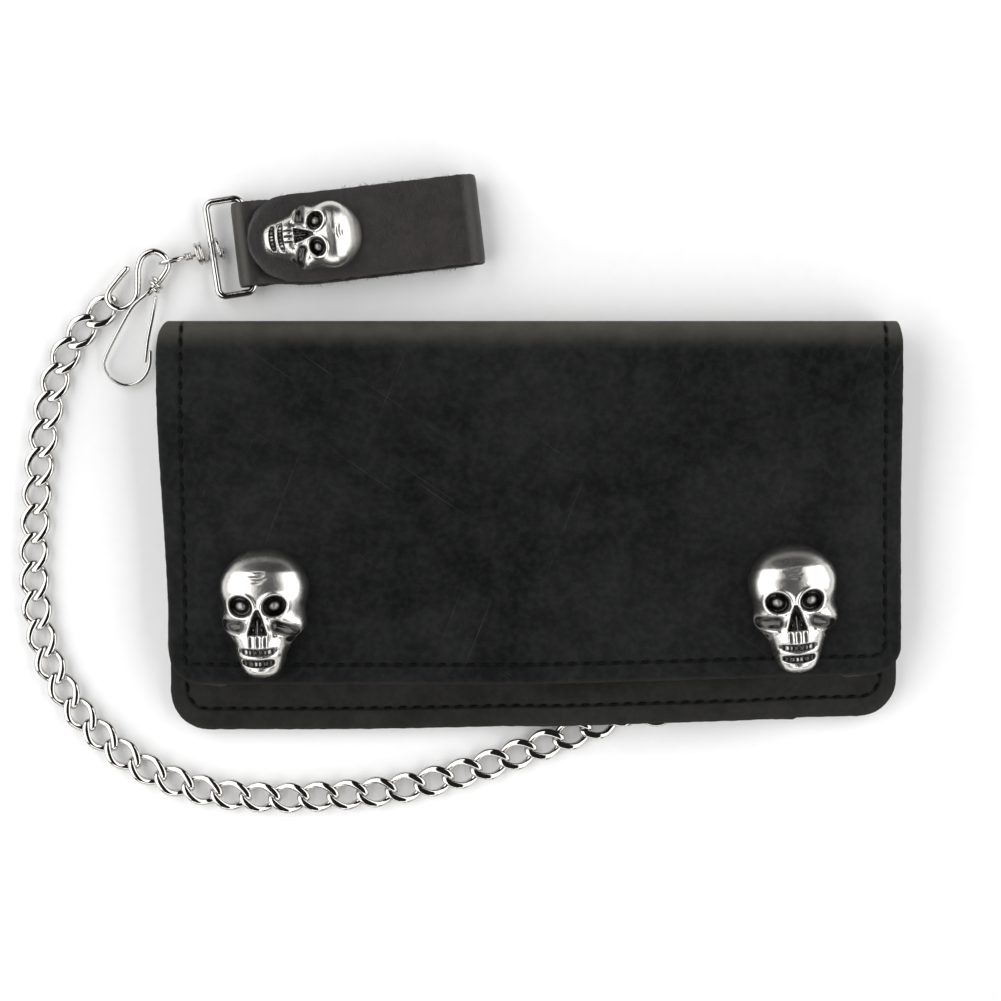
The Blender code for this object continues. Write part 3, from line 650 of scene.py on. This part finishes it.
x, s = spread(corner_steps(BODY_CORNER, 44 + HALF_D, 1.5), BODY_CORNER, 0.0)
skin, edge = panel_skin(x, s)
sheet_of(
    "pocket_leather", skin, PANEL_LEATHER, WALLET_LEATHER, "leather", "wallet", ("pocket_panel",),
    # the whole panel takes 0.18 of the lighter bend tone, so it is drawn a little lighter than the cover
    {"edge": edge, "seam": body_seam(x, s), "bend": 0 * x + 0.18},
)

x, s = spread(corner_steps(BODY_CORNER, 46 + HALF_D, 2.5), BODY_CORNER, 0.0)
y = s - HALF_D
skin = body_shape(x, y, 2.7 + lift(x, y)) * [0.996, 1, 1]
sheet_of(
    "back_lining_leather", skin, THIN_LEATHER, LINING, "lining", "wallet", ("back_lining",),
    {"edge": from_edge(HALF_W - np.abs(x), s, BODY_CORNER)}, 0.02,
)


def hidden_sheet(name, node, half, low, high, z, radius):
    """A thin lining under the flap, finish side down, which droops with it."""
    rows = corner_steps(radius, high - low, 2.5)
    across = np.concatenate([[1, 0.996], np.linspace(0.985, -0.985, 89), [-0.996, -1]])
    side = side_at(rows, radius, half)
    x, s = across * side[:, None], np.repeat(rows[:, None], len(across), 1)
    y = low + s
    skin = np.stack([x, y, z - droop(x, y) + 0.05 * np.sin(x / 9) * np.sin(y / 7)], -1)
    marks = {"edge": from_edge(half - np.abs(x), s, radius)}
    return sheet_of(name, skin, THIN_LEATHER, LINING, "lining", "cover", (node,), marks, 0.02)


hidden_sheet("cover_lining_leather", "cover_lining", 91.0, -37.5, 46.0, 12.4, 6.0)
hidden_sheet("card_pocket_1", "card_pocket_upper", 48.0, -36.5, 32.0, 11.5, 2.0)
hidden_sheet("card_pocket_2", "card_pocket_middle", 48.0, -36.5, 21.0, 10.6, 2.0)
hidden_sheet("card_pocket_3", "card_pocket_lower", 48.0, -36.5, 10.0, 9.7, 2.0)


# stitches


def stitched(name, line, over, body, slot):
    """Stitches along a line on the leather: each is a bead stretched along its thread, whose ends dip
    into their holes, and it slants a little, every other way."""
    far = walked(line)
    count = int(far[-1] // STITCH_PITCH)
    middles = (np.arange(count) + 0.5) * far[-1] / count
    at, way = stations(line, middles)
    up = unit(np.stack([np.interp(middles, far, over[:, k]) for k in range(3)], 1))
    across = unit(np.cross(up, way))
    slant = 0.16 * np.where(np.arange(count) % 2, 1, 0.55)[:, None]
    way, across = way + across * slant, across - way * slant
    u = np.radians([-90, -58, -22, 22, 58, 90])[:, None]
    v = np.linspace(0, math.tau, 8, endpoint=False)[None, :]
    u, v = np.broadcast_arrays(u, v)
    along, aside = 1.35 * np.sin(u), 0.42 * np.cos(u) * np.cos(v)
    tall = 0.34 * np.cos(u) * np.sin(v) + 0.03 - 0.22 * np.sin(u) ** 2
    bead = [m[None, :, :, None] for m in (along, aside, tall)]
    points = at[:, None, None] + bead[0] * way[:, None, None] + bead[1] * across[:, None, None]
    points = points + bead[2] * up[:, None, None]
    one = quads(*u.shape, wrap_columns=True)[:, ::-1]
    return piece(name, points, repeated(one, count, u.size), THREAD, slot, body)


def seam_line(side_in, foot_in, high, left_round, right_round):
    """x and s along a row of stitches: down the left side, along the foot and up the right side."""
    w = HALF_W - side_in
    t = np.linspace(0, math.pi / 2, 9)
    left = np.stack([-w + left_round * (1 - np.cos(t)), foot_in + left_round * (1 - np.sin(t))], 1)
    right = np.stack([w - right_round * (1 - np.sin(t)), foot_in + right_round * (1 - np.cos(t))], 1)
    line = np.vstack([[(-w, high)], left, right, [(w, high)]])
    far = walked(line)
    distances = np.linspace(0, far[-1], 900)
    return np.interp(distances, far, line[:, 0]), np.interp(distances, far, line[:, 1])


def lie_of(skin, x, s):
    """Points on a skin and the normals there, from small steps across and up it."""
    at = skin(x, s)[0]
    return at, unit(np.cross(skin(x + 0.05, s)[0] - at, skin(x, s + 0.05)[0] - at))


x, s = seam_line(SEAM_IN, FLAP_SEAM_UP, 91.0, *FLAP_SEAM_ROUND)
x = x + (flap_inset(x, s) - SEAM_IN) * smooth((-x - 70) / 15)
flap_line = lie_of(front_skin, x, s)
flap_stitches = stitched("flap_stitches", *flap_line, None, "leather")
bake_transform(flap_stitches)
body_line = seam_line(SEAM_IN, BODY_SEAM_UP, 93.0, BODY_SEAM_ROUND, BODY_SEAM_ROUND)
stitched("body_stitches", *lie_of(panel_skin, *body_line), "wallet", "leather")
at, over = lie_of(back_skin, *body_line)
stitched("back_stitches", at, -over, "wallet", "leather")


# belt loop


def in_strap(a, v, z):
    """A point a along the strap, v across it and z up."""
    c, s = math.cos(STRAP_TURN), math.sin(STRAP_TURN)
    return np.stack([STRAP_AT[0] + a * c - v * s, STRAP_AT[1] + a * s + v * c, z + 0 * a + 0 * v], -1)


def arc(centre, radius, start, end, count):
    t = np.radians(np.linspace(start, end, count))
    return np.stack([centre[0] + radius * np.cos(t), centre[1] + radius * np.sin(t)], 1)


def widened(a, v):
    """The strap is 1.2 wider on its lower side past the ring."""
    return v - 1.2 * smooth((a - 8) / 12) * smooth(-v / STRAP_HALF)


def strap_sheet(name, route, half, stands_for, fold_light_marks, blend):
    """The strap's finish side, a side view (a, z) carried across the width between -half and half."""
    across = np.concatenate([[-1, -0.985, -0.955], np.linspace(-0.9, 0.9, 21), [0.955, 0.985, 1]])
    half = np.broadcast_to(half, (len(route),))[:, None]
    v = across[None, :] * half
    a, z = (np.repeat(route[:, k : k + 1], len(across), 1) for k in (0, 1))
    round_over = 0.22 * (1 - smooth((half - np.abs(v)) / 1.5))
    way = unit(np.gradient(route, axis=0))
    a, z = a - round_over * way[:, 1:2], z + round_over * way[:, 0:1]
    # painted light: these marks lighten the strap's colour where it turns over its folds
    bend = np.repeat(fold_light_marks[:, None], len(across), 1)
    marks = {"edge": half - np.abs(v), "seam": NO_SEAM + 0 * v, "bend": bend}
    skin = in_strap(a, widened(a, v), z)
    obj = sheet_of(
        name, skin, STRAP_LEATHER, BELT_LEATHER, "belt_leather", None, stands_for, marks, 0.09
    )
    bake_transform(obj)
    return obj


FOLD_RADIUS = 4.65
FOLD_CENTRE = (58.35, FOLD_RADIUS)
lap = through([(26.7, 3.7), (20.0, 3.72), (14.5, 3.75), (11.0, 4.0), (8.2, 5.0), (5.6, 6.2), (3.3, 6.6)], 5)
route = np.vstack([
    lap[:-1], arc((3.3, 3.3), 3.3, 90, 270, 25), [(x, 0) for x in np.arange(6.0, 57.5, 1.5)],
    arc(FOLD_CENTRE, FOLD_RADIUS, 270, 360, 13),
])
# painted light on the strap's folds: lighter round the ring, and a little on the right-hand fold
fold_light = np.maximum(smooth((5.5 - route[:, 0]) / 4), 0.2 * smooth((route[:, 0] - 58) / 3))


def point(a, z):
    """A point on the strap's middle line, in metres."""
    return tuple(in_strap(np.float64(a), np.float64(0), np.float64(z)) * MM)


strap_sheet(
    "strap_leather", route, STRAP_HALF, ("belt_strap",), fold_light,
    ("strap", "strap_bend", point(58.5, 0.5), point(62.6, 3.4)),
)

tip = arc((14.5, 0), STRAP_HALF, 90, 180, 17)
tip_a, tip_half = tip[:, 0], np.maximum(tip[:, 1], 0.25)
route = np.vstack([
    arc(FOLD_CENTRE, FOLD_RADIUS, 0, 90, 13), [(a, STRAP_TOP) for a in np.arange(57.5, 15.2, -1.5)]
])
sag = 0.25 * np.sin(np.clip((route[:, 0] - 14) / 44, 0, 1) * math.pi)
route[:, 1] -= sag * (route[:, 0] < 58)
half = np.concatenate([np.full(len(route), STRAP_HALF), tip_half])
# painted light on the flap's right-hand fold
fold_light = np.concatenate([0.2 * smooth((route[:, 0] - 58) / 3), np.zeros(len(tip_a))])
route = np.vstack([route, np.stack([tip_a, np.full(len(tip_a), STRAP_TOP)], 1)])
strap_sheet(
    "flap_leather", route, half, ("belt_flap", "belt_bend"), fold_light,
    ("strap_bend", "strap_flap", point(62.6, 6.0), point(58.5, 8.9)),
)


def fibres(name, base, out, body, seed):
    """Loose fibres at a raw edge: each a bent three-sided hair that leaves the edge and falls away."""
    rng = np.random.default_rng(seed)
    n = len(base)
    steps, sides = 5, 3
    u = np.linspace(0, 1, steps)[None, :, None]
    long = rng.uniform(0.2, 0.85, (n, 1, 1))
    sideways = rng.normal(0, 0.8, (n, 1, 3)) * [1, 1, 0.35]
    line = base[:, None] + out[:, None] * u * long + sideways * u**2 * long * 0.7
    t = np.linspace(0, math.tau, sides, endpoint=False)
    ring = np.stack([0 * t, np.cos(t), np.sin(t)], 1)[None, None] * (0.15 * (1.1 - u))[..., None]
    points = (line[:, :, None] + ring).reshape(-1, 3)
    faces = repeated(quads(steps, sides, wrap_columns=True), n, steps * sides)
    return piece(name, points, faces, THREAD, "belt_leather", body)


FIBRES = 260
rng = np.random.default_rng(4)
a = rng.uniform(12, 58, FIBRES)
v = widened(a, np.where(np.arange(FIBRES) % 2, STRAP_HALF, -STRAP_HALF))
outward = unit(in_strap(a, v * 1.1, 0 * a) - in_strap(a, v, 0 * a))
fibres("flap_fibres", in_strap(a, v * 0.995, rng.uniform(7.8, 9.0, FIBRES)), outward, "strap_flap", 5)
fibres("strap_fibres", in_strap(a, v * 0.995, rng.uniform(0.4, 1.4, FIBRES)), outward, "strap", 6)


# skulls

# Half width and height of the dome at places from the chin up to the crown.
CHIN, CROWN = -15.95, 15.75
SKULL_ROWS, SKULL_COLUMNS = 250, 170
OUTLINE = np.array([
    (CHIN, 0.0), (-15.7, 2.0), (-15.2, 3.2), (-14.3, 4.3), (-13.0, 5.1), (-11.0, 5.75), (-9.0, 6.3),
    (-7.2, 7.0), (-5.8, 8.0), (-4.6, 9.2), (-3.5, 10.0), (-2.4, 10.4), (-1.0, 10.25), (0.5, 9.85), (2.0, 9.9),
    (4.0, 10.5), (6.0, 10.85), (8.0, 10.7), (10.0, 9.9), (12.0, 8.4), (13.5, 6.75), (14.6, 5.0), (15.3, 3.4),
    (CROWN, 1.0),
])
HEIGHT = np.array([
    (CHIN, 0.0), (-15.6, 2.2), (-14.8, 4.1), (-13.4, 5.3), (-11.5, 6.1), (-9.0, 6.9), (-6.5, 7.2),
    (-3.0, 7.0), (0.0, 6.9), (2.5, 7.4), (5.0, 8.1), (7.5, 8.2), (10.0, 7.4), (12.5, 5.5), (14.3, 3.4),
    (15.2, 2.0), (CROWN, 0.3),
])


def bowl(distance, soft):
    """1 well inside a shape, where distance is negative, and 0 outside it, over a soft width."""
    return 1 - smooth(distance / soft + 0.5)


def skull_relief(x, y):
    """Height added to the smooth dome at x, y, and how deep the hollows are there, as sums of bowls and
    ridges: brow creases, eye sockets with a ball in each, the nose, cheeks, rows of teeth and a chin."""
    ax = np.abs(x)
    rise, hollow = np.zeros_like(x), np.zeros_like(x)
    eye = np.hypot((ax - 4.15) / 2.95, (y - 1.75 - 0.10 * (ax - 4)) / 2.6)
    socket = bowl(eye - 0.93, 0.26)
    ball = np.sqrt(np.maximum(1 - (eye / 0.62) ** 2, 0))
    rise += 0.3 * ridge(eye - 1.18, 0.18) - 2.9 * socket
    rise += 1.9 * ball
    hollow = np.maximum(hollow, socket * (1 - 0.7 * ball))
    down = np.clip((0.6 - y) / 5.6, 0, 1)
    flare = 1.95 * down**0.8
    nose = bowl(np.maximum(ax - 0.35 - flare, np.maximum(y - 0.7, -5.2 - y)), 0.6)
    septum = ridge(x, 0.36) * smooth((down - 0.25) / 0.2)
    wings = spot(ax, y, (1.05, -4.0), (0.4, 0.8))
    rise += -1.9 * nose + nose * (1.3 * septum + 1.1 * wings)
    hollow = np.maximum(hollow, nose * (1 - 0.65 * septum - 0.6 * wings))
    rise += 0.45 * ridge(ax - 0.75 - flare, 0.42) * smooth(1.4 - y) * smooth(y + 5)
    t = np.clip((ax - 4.6) / 4.1, 0, 1)
    slope = np.where(x < 0, 0.5, -1.3)
    cheek = np.hypot(ax - 4.6 - 4.1 * t, y + 3.1 - slope * t)
    hole = ridge(cheek, 1.45)
    low = smooth((-2.6 + slope * t - y) / 1.5)
    rise += -1.6 * hole + 0.5 * low * ridge(cheek - 2.1, 0.5) * smooth((ax - 3.6) / 1.5)
    hollow = np.maximum(hollow, hole)
    under = spot(ax, y, (8.0, -6.4), (1.6, 1.0))
    rise, hollow = rise - 1.1 * under, np.maximum(hollow, 0.8 * under)
    rise += 0.55 * np.exp(-((ax / 4.6) ** 4) - ((y + 7.3) / 1.9) ** 2)
    roots = (0.5 + 0.5 * np.cos(math.tau * x / 1.85)) ** 2
    roots = roots * bowl(ax - 2.3, 0.8) * bowl(np.abs(y + 7.0) - 1.4, 1.2)
    rise, hollow = rise - 0.55 * roots, np.maximum(hollow, 0.7 * roots)
    smile = 0.028 * x**2
    for row, long, thick in ((-9.5, 4.7, 0.8), (-12.3, 4.1, 0.9)):
        off = y - row - smile
        band = bowl(np.maximum(np.abs(off) - thick * (1 - 0.55 * (x / long) ** 4), ax - long), 0.45)
        gaps = np.sqrt(np.abs(np.sin(math.pi * x / 1.2 + 0.5 * np.sin(1.7 * x + row))))
        tooth = gaps * bowl(np.abs(off + 0.05) - 0.56, 0.4)
        rise += band * (0.95 * tooth - 1.05)
        hollow = np.maximum(hollow, band * (1 - 0.85 * tooth * (0.65 + 0.35 * np.cos(1.1 * x + row))))
    rise += 0.42 * ridge(y + 10.9 - smile, 0.42) * bowl(ax - 5.0, 1.0)
    rise += 0.55 * spot(x, y, (0, -14.5), (2.8, 0.8))
    for crease, reach, mid in ((9.9, 0.9, 0.7), (9.0, 1.6, -0.2), (8.2, 1.3, 0.5), (7.4, 0.8, 0.1)):
        line = ridge(y - crease - 0.05 * (x - mid) ** 2, 0.2) * bowl(np.abs(x - mid) - reach, 2.0)
        rise, hollow = rise - 0.2 * line, np.maximum(hollow, 0.5 * line)
    rise -= 0.9 * spot(ax, y, (10.2, 0.6), (1.9, 1.9))
    return rise, hollow


def skull(name, body, node, at, turn, scale, lean):
    """A cast skull: across each row, x = half width sin t and z = height cos t to the power 0.72, so it
    is domed with steep sides, plus the relief. The face is lean off its middle and the jaw 0.6 of that.
    The flat back is one face."""
    middle, reach = 0.5 * (CROWN + CHIN), 0.5 * (CROWN - CHIN)
    rows = middle - reach * np.cos(np.linspace(0, math.pi, SKULL_ROWS))
    rows[0], rows[-1] = CHIN + 0.01, CROWN - 0.005
    t = np.linspace(-math.pi / 2, math.pi / 2, SKULL_COLUMNS)
    half = np.sqrt(np.maximum(np.interp(rows, OUTLINE[:, 0], OUTLINE[:, 1] ** 2), 1e-4))
    tall = np.sqrt(np.maximum(np.interp(rows, HEIGHT[:, 0], HEIGHT[:, 1] ** 2), 1e-4))
    for _ in range(6):
        half[1:-1] = (half[:-2] + 2 * half[1:-1] + half[2:]) / 4
        tall[1:-1] = (tall[:-2] + 2 * tall[1:-1] + tall[2:]) / 4
    y = np.repeat(rows[:, None], len(t), 1)
    x = half[:, None] * np.sin(t)[None, :] + 0.6 * lean * smooth((-3 - y) / 8)
    round_x = np.abs(np.cos(t))[None, :] ** 0.72
    rise, hollow = skull_relief(x - lean, y)
    held = smooth(np.minimum(round_x / 0.45, tall[:, None] / 2.5))
    z = np.maximum(tall[:, None] * round_x + rise * held, 0)
    points = turned_by(np.stack([x, y, z], -1).reshape(-1, 3) * scale, turn, at)
    back = border(SKULL_ROWS, SKULL_COLUMNS)[::-1].tolist()
    faces = quads(SKULL_ROWS, SKULL_COLUMNS).tolist() + [back]
    return piece(name, points, faces, PEWTER, "pewter", body, (node,), {"hollow": hollow * held})


skull("left_skull", "cover", "left_snap_cap", (-66.2, -22.8, 15.0), math.radians(1), 1.02, -1.3)
skull("right_skull", "cover", "right_snap_cap", (66.2, -21.6, 15.0), math.radians(5), 1.02, -0.45)
belt_x, belt_y, _ = in_strap(np.float64(20.2), np.float64(-0.8), np.float64(0))
skull("belt_skull", "strap_flap", "belt_snap_cap", (belt_x, belt_y, 9.2), math.radians(-83.3), 0.8, -0.35)


# ring, link, hook and key clip


def rounded_ring(half_x, half_y, radius):
    """A rounded rectangle as a closed line in the XY plane."""
    corners = [(half_x, half_y, 0), (-half_x, half_y, 90), (-half_x, -half_y, 180), (half_x, -half_y, 270)]
    line = np.vstack([
        arc((math.copysign(abs(x) - radius, x), math.copysign(abs(y) - radius, y)), radius, a, a + 90, 12)
        for x, y, a in corners
    ])
    return np.column_stack([line, np.zeros(len(line))])


def by_corner(route):
    """Points given from the wallet's upper left corner."""
    return [(x - HALF_W, y + HALF_D, z) for x, y, z in route]


ring_line = turned_by(rounded_ring(4.6, 12.15, 1.9), math.radians(8.8), (-76.3, 69.8, 3.0))
piece("ring_wire", *wire(ring_line, 0.9, 20, True, (0, 0, 1)), NICKEL, "nickel", "ring", ("strap_ring",))

THIN_WIRE = 0.45
COIL_RADIUS, COIL_Z, COIL_STEP, COIL_PITCH = 2.55, 3.1, 1.95, 1.1
eye_t = np.radians(np.linspace(338, 22, 30))
eye = np.stack([-10 + 3.4 * np.cos(eye_t), 0 * eye_t, HOOK_Z + 1.95 * np.sin(eye_t)], 1)
turns = np.linspace(0.55, 3.5, 120)
crossing = COIL_STEP * (2 * smooth((turns - 2.25) / 0.5) - 1)
coil_x = crossing - COIL_PITCH * np.maximum(2.25 - turns, 0) + COIL_PITCH * np.maximum(turns - 2.75, 0)
coil_t = math.pi / 2 + math.tau * turns
coil = np.stack([coil_x, COIL_RADIUS * np.cos(coil_t), COIL_Z + COIL_RADIUS * np.sin(coil_t)], 1)
neck = through([eye[-1], (-5.6, 0, HOOK_Z), (-4.7, 0, HOOK_Z - 0.9), (-4.0, 0.3, 0.9), coil[0]], 6)[1:-1]
link_at, link_turn = (-81.2, 68.9, 0), math.radians(13.9)
link_line = turned_by(np.vstack([eye, neck, coil]), link_turn, link_at)
u = np.linspace(0, 1, 60)
wrap_t = 2.6 * math.tau * u
wrap = np.stack([-6.75 + 1.6 * u, 0.8 * np.cos(wrap_t), HOOK_Z - 0.25 * u + 0.8 * np.sin(wrap_t)], 1)
wrap_line = turned_by(wrap, link_turn, link_at)
link_parts = together([wire(link_line, THIN_WIRE, 14), wire(wrap_line, 0.32, 10)])
piece("link_wire", *link_parts, NICKEL, "nickel", "link", ("coil_link",))

HOOK_ROUTE = [
    (-10.2, 13.8), (-12.7, 10.8), (-14.9, 7.7), (-14.7, 5.1), (-12.2, 3.6), (-9.3, 4.6), (-7.6, 7.1),
    (-7.4, 10.7), (-7.3, 14.1), (-6.1, 17.0), (-3.4, 18.3), (-0.7, 17.1), (0.3, 14.6), (-1.0, 11.9),
    (-2.8, 9.8), (-4.6, 7.7),
]
hook_line = through(by_corner([(x, y, HOOK_Z) for x, y in HOOK_ROUTE]))
piece("hook_wire", *wire(hook_line, 0.85, 18), NICKEL, "nickel", "hook", ("hook",))


def leaning(route):
    """The clip's points with their height, which leans from the hook down to the table."""
    return by_corner([(x, y, 0.75 + (max(y, -15.8) + 15.8) * 0.162) for x, y in route])


CLIP_ROUTE = [
    (-5.1, 7.1), (-7.6, 5.1), (-9.4, 2.9), (-13.0, -3.3), (-15.7, -8.6), (-16.2, -11.1),
    (-15.0, -13.6), (-12.4, -15.4), (-9.9, -15.8), (-7.4, -14.9), (-5.4, -12.8), (-4.5, -10.3),
    (-4.3, -7.3),
]
LATCH_ROUTE = [(-2.5, 6.4), (-2.9, 4.5), (-3.6, 1.1), (-4.8, -4.1), (-5.6, -9.7)]
wind_way = unit(np.array([2.1, 2.5, 0]))
wind_side = np.array([-wind_way[1], wind_way[0], 0])
wind_low = np.array(by_corner([(-3.7, 8.8, HOOK_Z)])[0])
k = np.linspace(0, 24, 73)[:, None]
winding = wind_low + wind_way * 2.6 * (1 - k / 24)
wind_t = math.tau * k / 12
winding = winding + 1.65 * (wind_side * np.sin(wind_t) + np.array([0, 0, 1]) * np.cos(wind_t))
clip_line = np.vstack([winding, through(leaning(CLIP_ROUTE))])
piece("clip_wire", *wire(clip_line, THIN_WIRE, 12), NICKEL, "nickel", "hook", ("key_clip",))
latch_line = through(leaning(LATCH_ROUTE))
piece("latch_wire", *wire(latch_line, THIN_WIRE, 12), NICKEL, "nickel", "latch", ("clip_latch",))


# ring and leather tab under the back

TAB_TURN = math.radians(21.5)
TAB_AT = (33.5, -46.3)
TAB_HALF = 3.8
TAB_FOLD = 2.1
d_bar = np.stack([np.zeros(14), np.linspace(-5.1, 5.0, 14)], 1)
d_line = np.vstack([d_bar, arc((-1.2, 0), 5.2, 90, 270, 32)])
d_line = turned_by(np.column_stack([d_line, np.zeros(len(d_line))]), TAB_TURN, (*TAB_AT, TAB_FOLD))
piece("d_ring_wire", *wire(d_line, 0.7, 16, True, (0, 0, 1)), NICKEL, "nickel", "wallet", ("d_ring",))

tab_route = np.vstack([
    [(q, 2 * TAB_FOLD) for q in np.linspace(12, 0.8, 12)],
    arc((0, TAB_FOLD), TAB_FOLD, 90, 270, 15),
    [(q, 0.0) for q in np.linspace(0.8, 4, 5)],
])
tab_v = np.concatenate([[-TAB_HALF, -3.65], np.linspace(-3.3, 3.3, 9), [3.65, TAB_HALF]])
tab_q, tab_z = (np.repeat(tab_route[:, k : k + 1], len(tab_v), 1) for k in (0, 1))
tab_across = np.repeat(tab_v[None], len(tab_route), 0)
tab = np.stack([tab_q, tab_across, tab_z], -1)
tab = turned_by(tab.reshape(-1, 3), TAB_TURN, (*TAB_AT, 0)).reshape(*tab.shape)
tab_edge = TAB_HALF - np.abs(tab_across)
tab_marks = {"edge": tab_edge, "seam": NO_SEAM + 0 * tab_edge, "bend": 0 * tab_edge}
sheet_of("keeper_leather", tab, 1.1, WALLET_LEATHER, "leather", "wallet", ("chain_keeper",), tab_marks, 0.03)

for name in (
    "left_snap_socket", "right_snap_socket", "belt_snap_socket", "left_snap_stud", "right_snap_stud",
    "belt_snap_stud", "left_snap_eyelet", "right_snap_eyelet", "belt_snap_eyelet", "keeper_rivet",
):
    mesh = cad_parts[name].data
    mesh.materials.clear()
    mesh.materials.append(FITTING)

# floor and light

FLOOR_Z = -0.0005
floor_mesh = bpy.data.meshes.new("floor")
floor_corners = [(6 * x, 6 * y, FLOOR_Z) for x, y in ((-1, -1), (1, -1), (1, 1), (-1, 1))]
floor_mesh.from_pydata(floor_corners, [], [(0, 1, 2, 3)])
floor_mesh.materials.append(floor_finish())
floor = bpy.data.objects.new("floor", floor_mesh)
bpy.context.scene.collection.objects.link(floor)


def soft_light(name, place, aim, size, power):
    """A square soft light at a place, turned to face its aim."""
    data = bpy.data.lights.new(name, "AREA")
    data.shape, data.size, data.size_y, data.energy = "RECTANGLE", size[0], size[1], power
    light = bpy.data.objects.new(name, data)
    way = np.asarray(aim, float) - np.asarray(place, float)
    flat = math.hypot(way[0], way[1])
    light.location = place
    light.rotation_euler = (math.atan2(flat, -way[2]), 0, math.atan2(way[1], way[0]) - math.pi / 2)
    bpy.context.scene.collection.objects.link(light)


soft_light("left", (-0.68, 0.05, 0.56), (0, 0, 0), (1.9, 1.0), 13.8)
soft_light("right", (0.72, 0.05, 0.54), (0, 0, 0), (1.9, 0.9), 12.3)
soft_light("front", (0.0, -1.1, 0.5), (0, 0, 0), (1.2, 0.5), 4)

world = bpy.data.worlds.new("studio")
world.use_nodes = True
world.node_tree.nodes["Background"].inputs["Color"].default_value = (1, 1, 1, 1)
world.node_tree.nodes["Background"].inputs["Strength"].default_value = 0.02
bpy.context.scene.world = world
bpy.context.scene.view_settings.view_transform = "Standard"
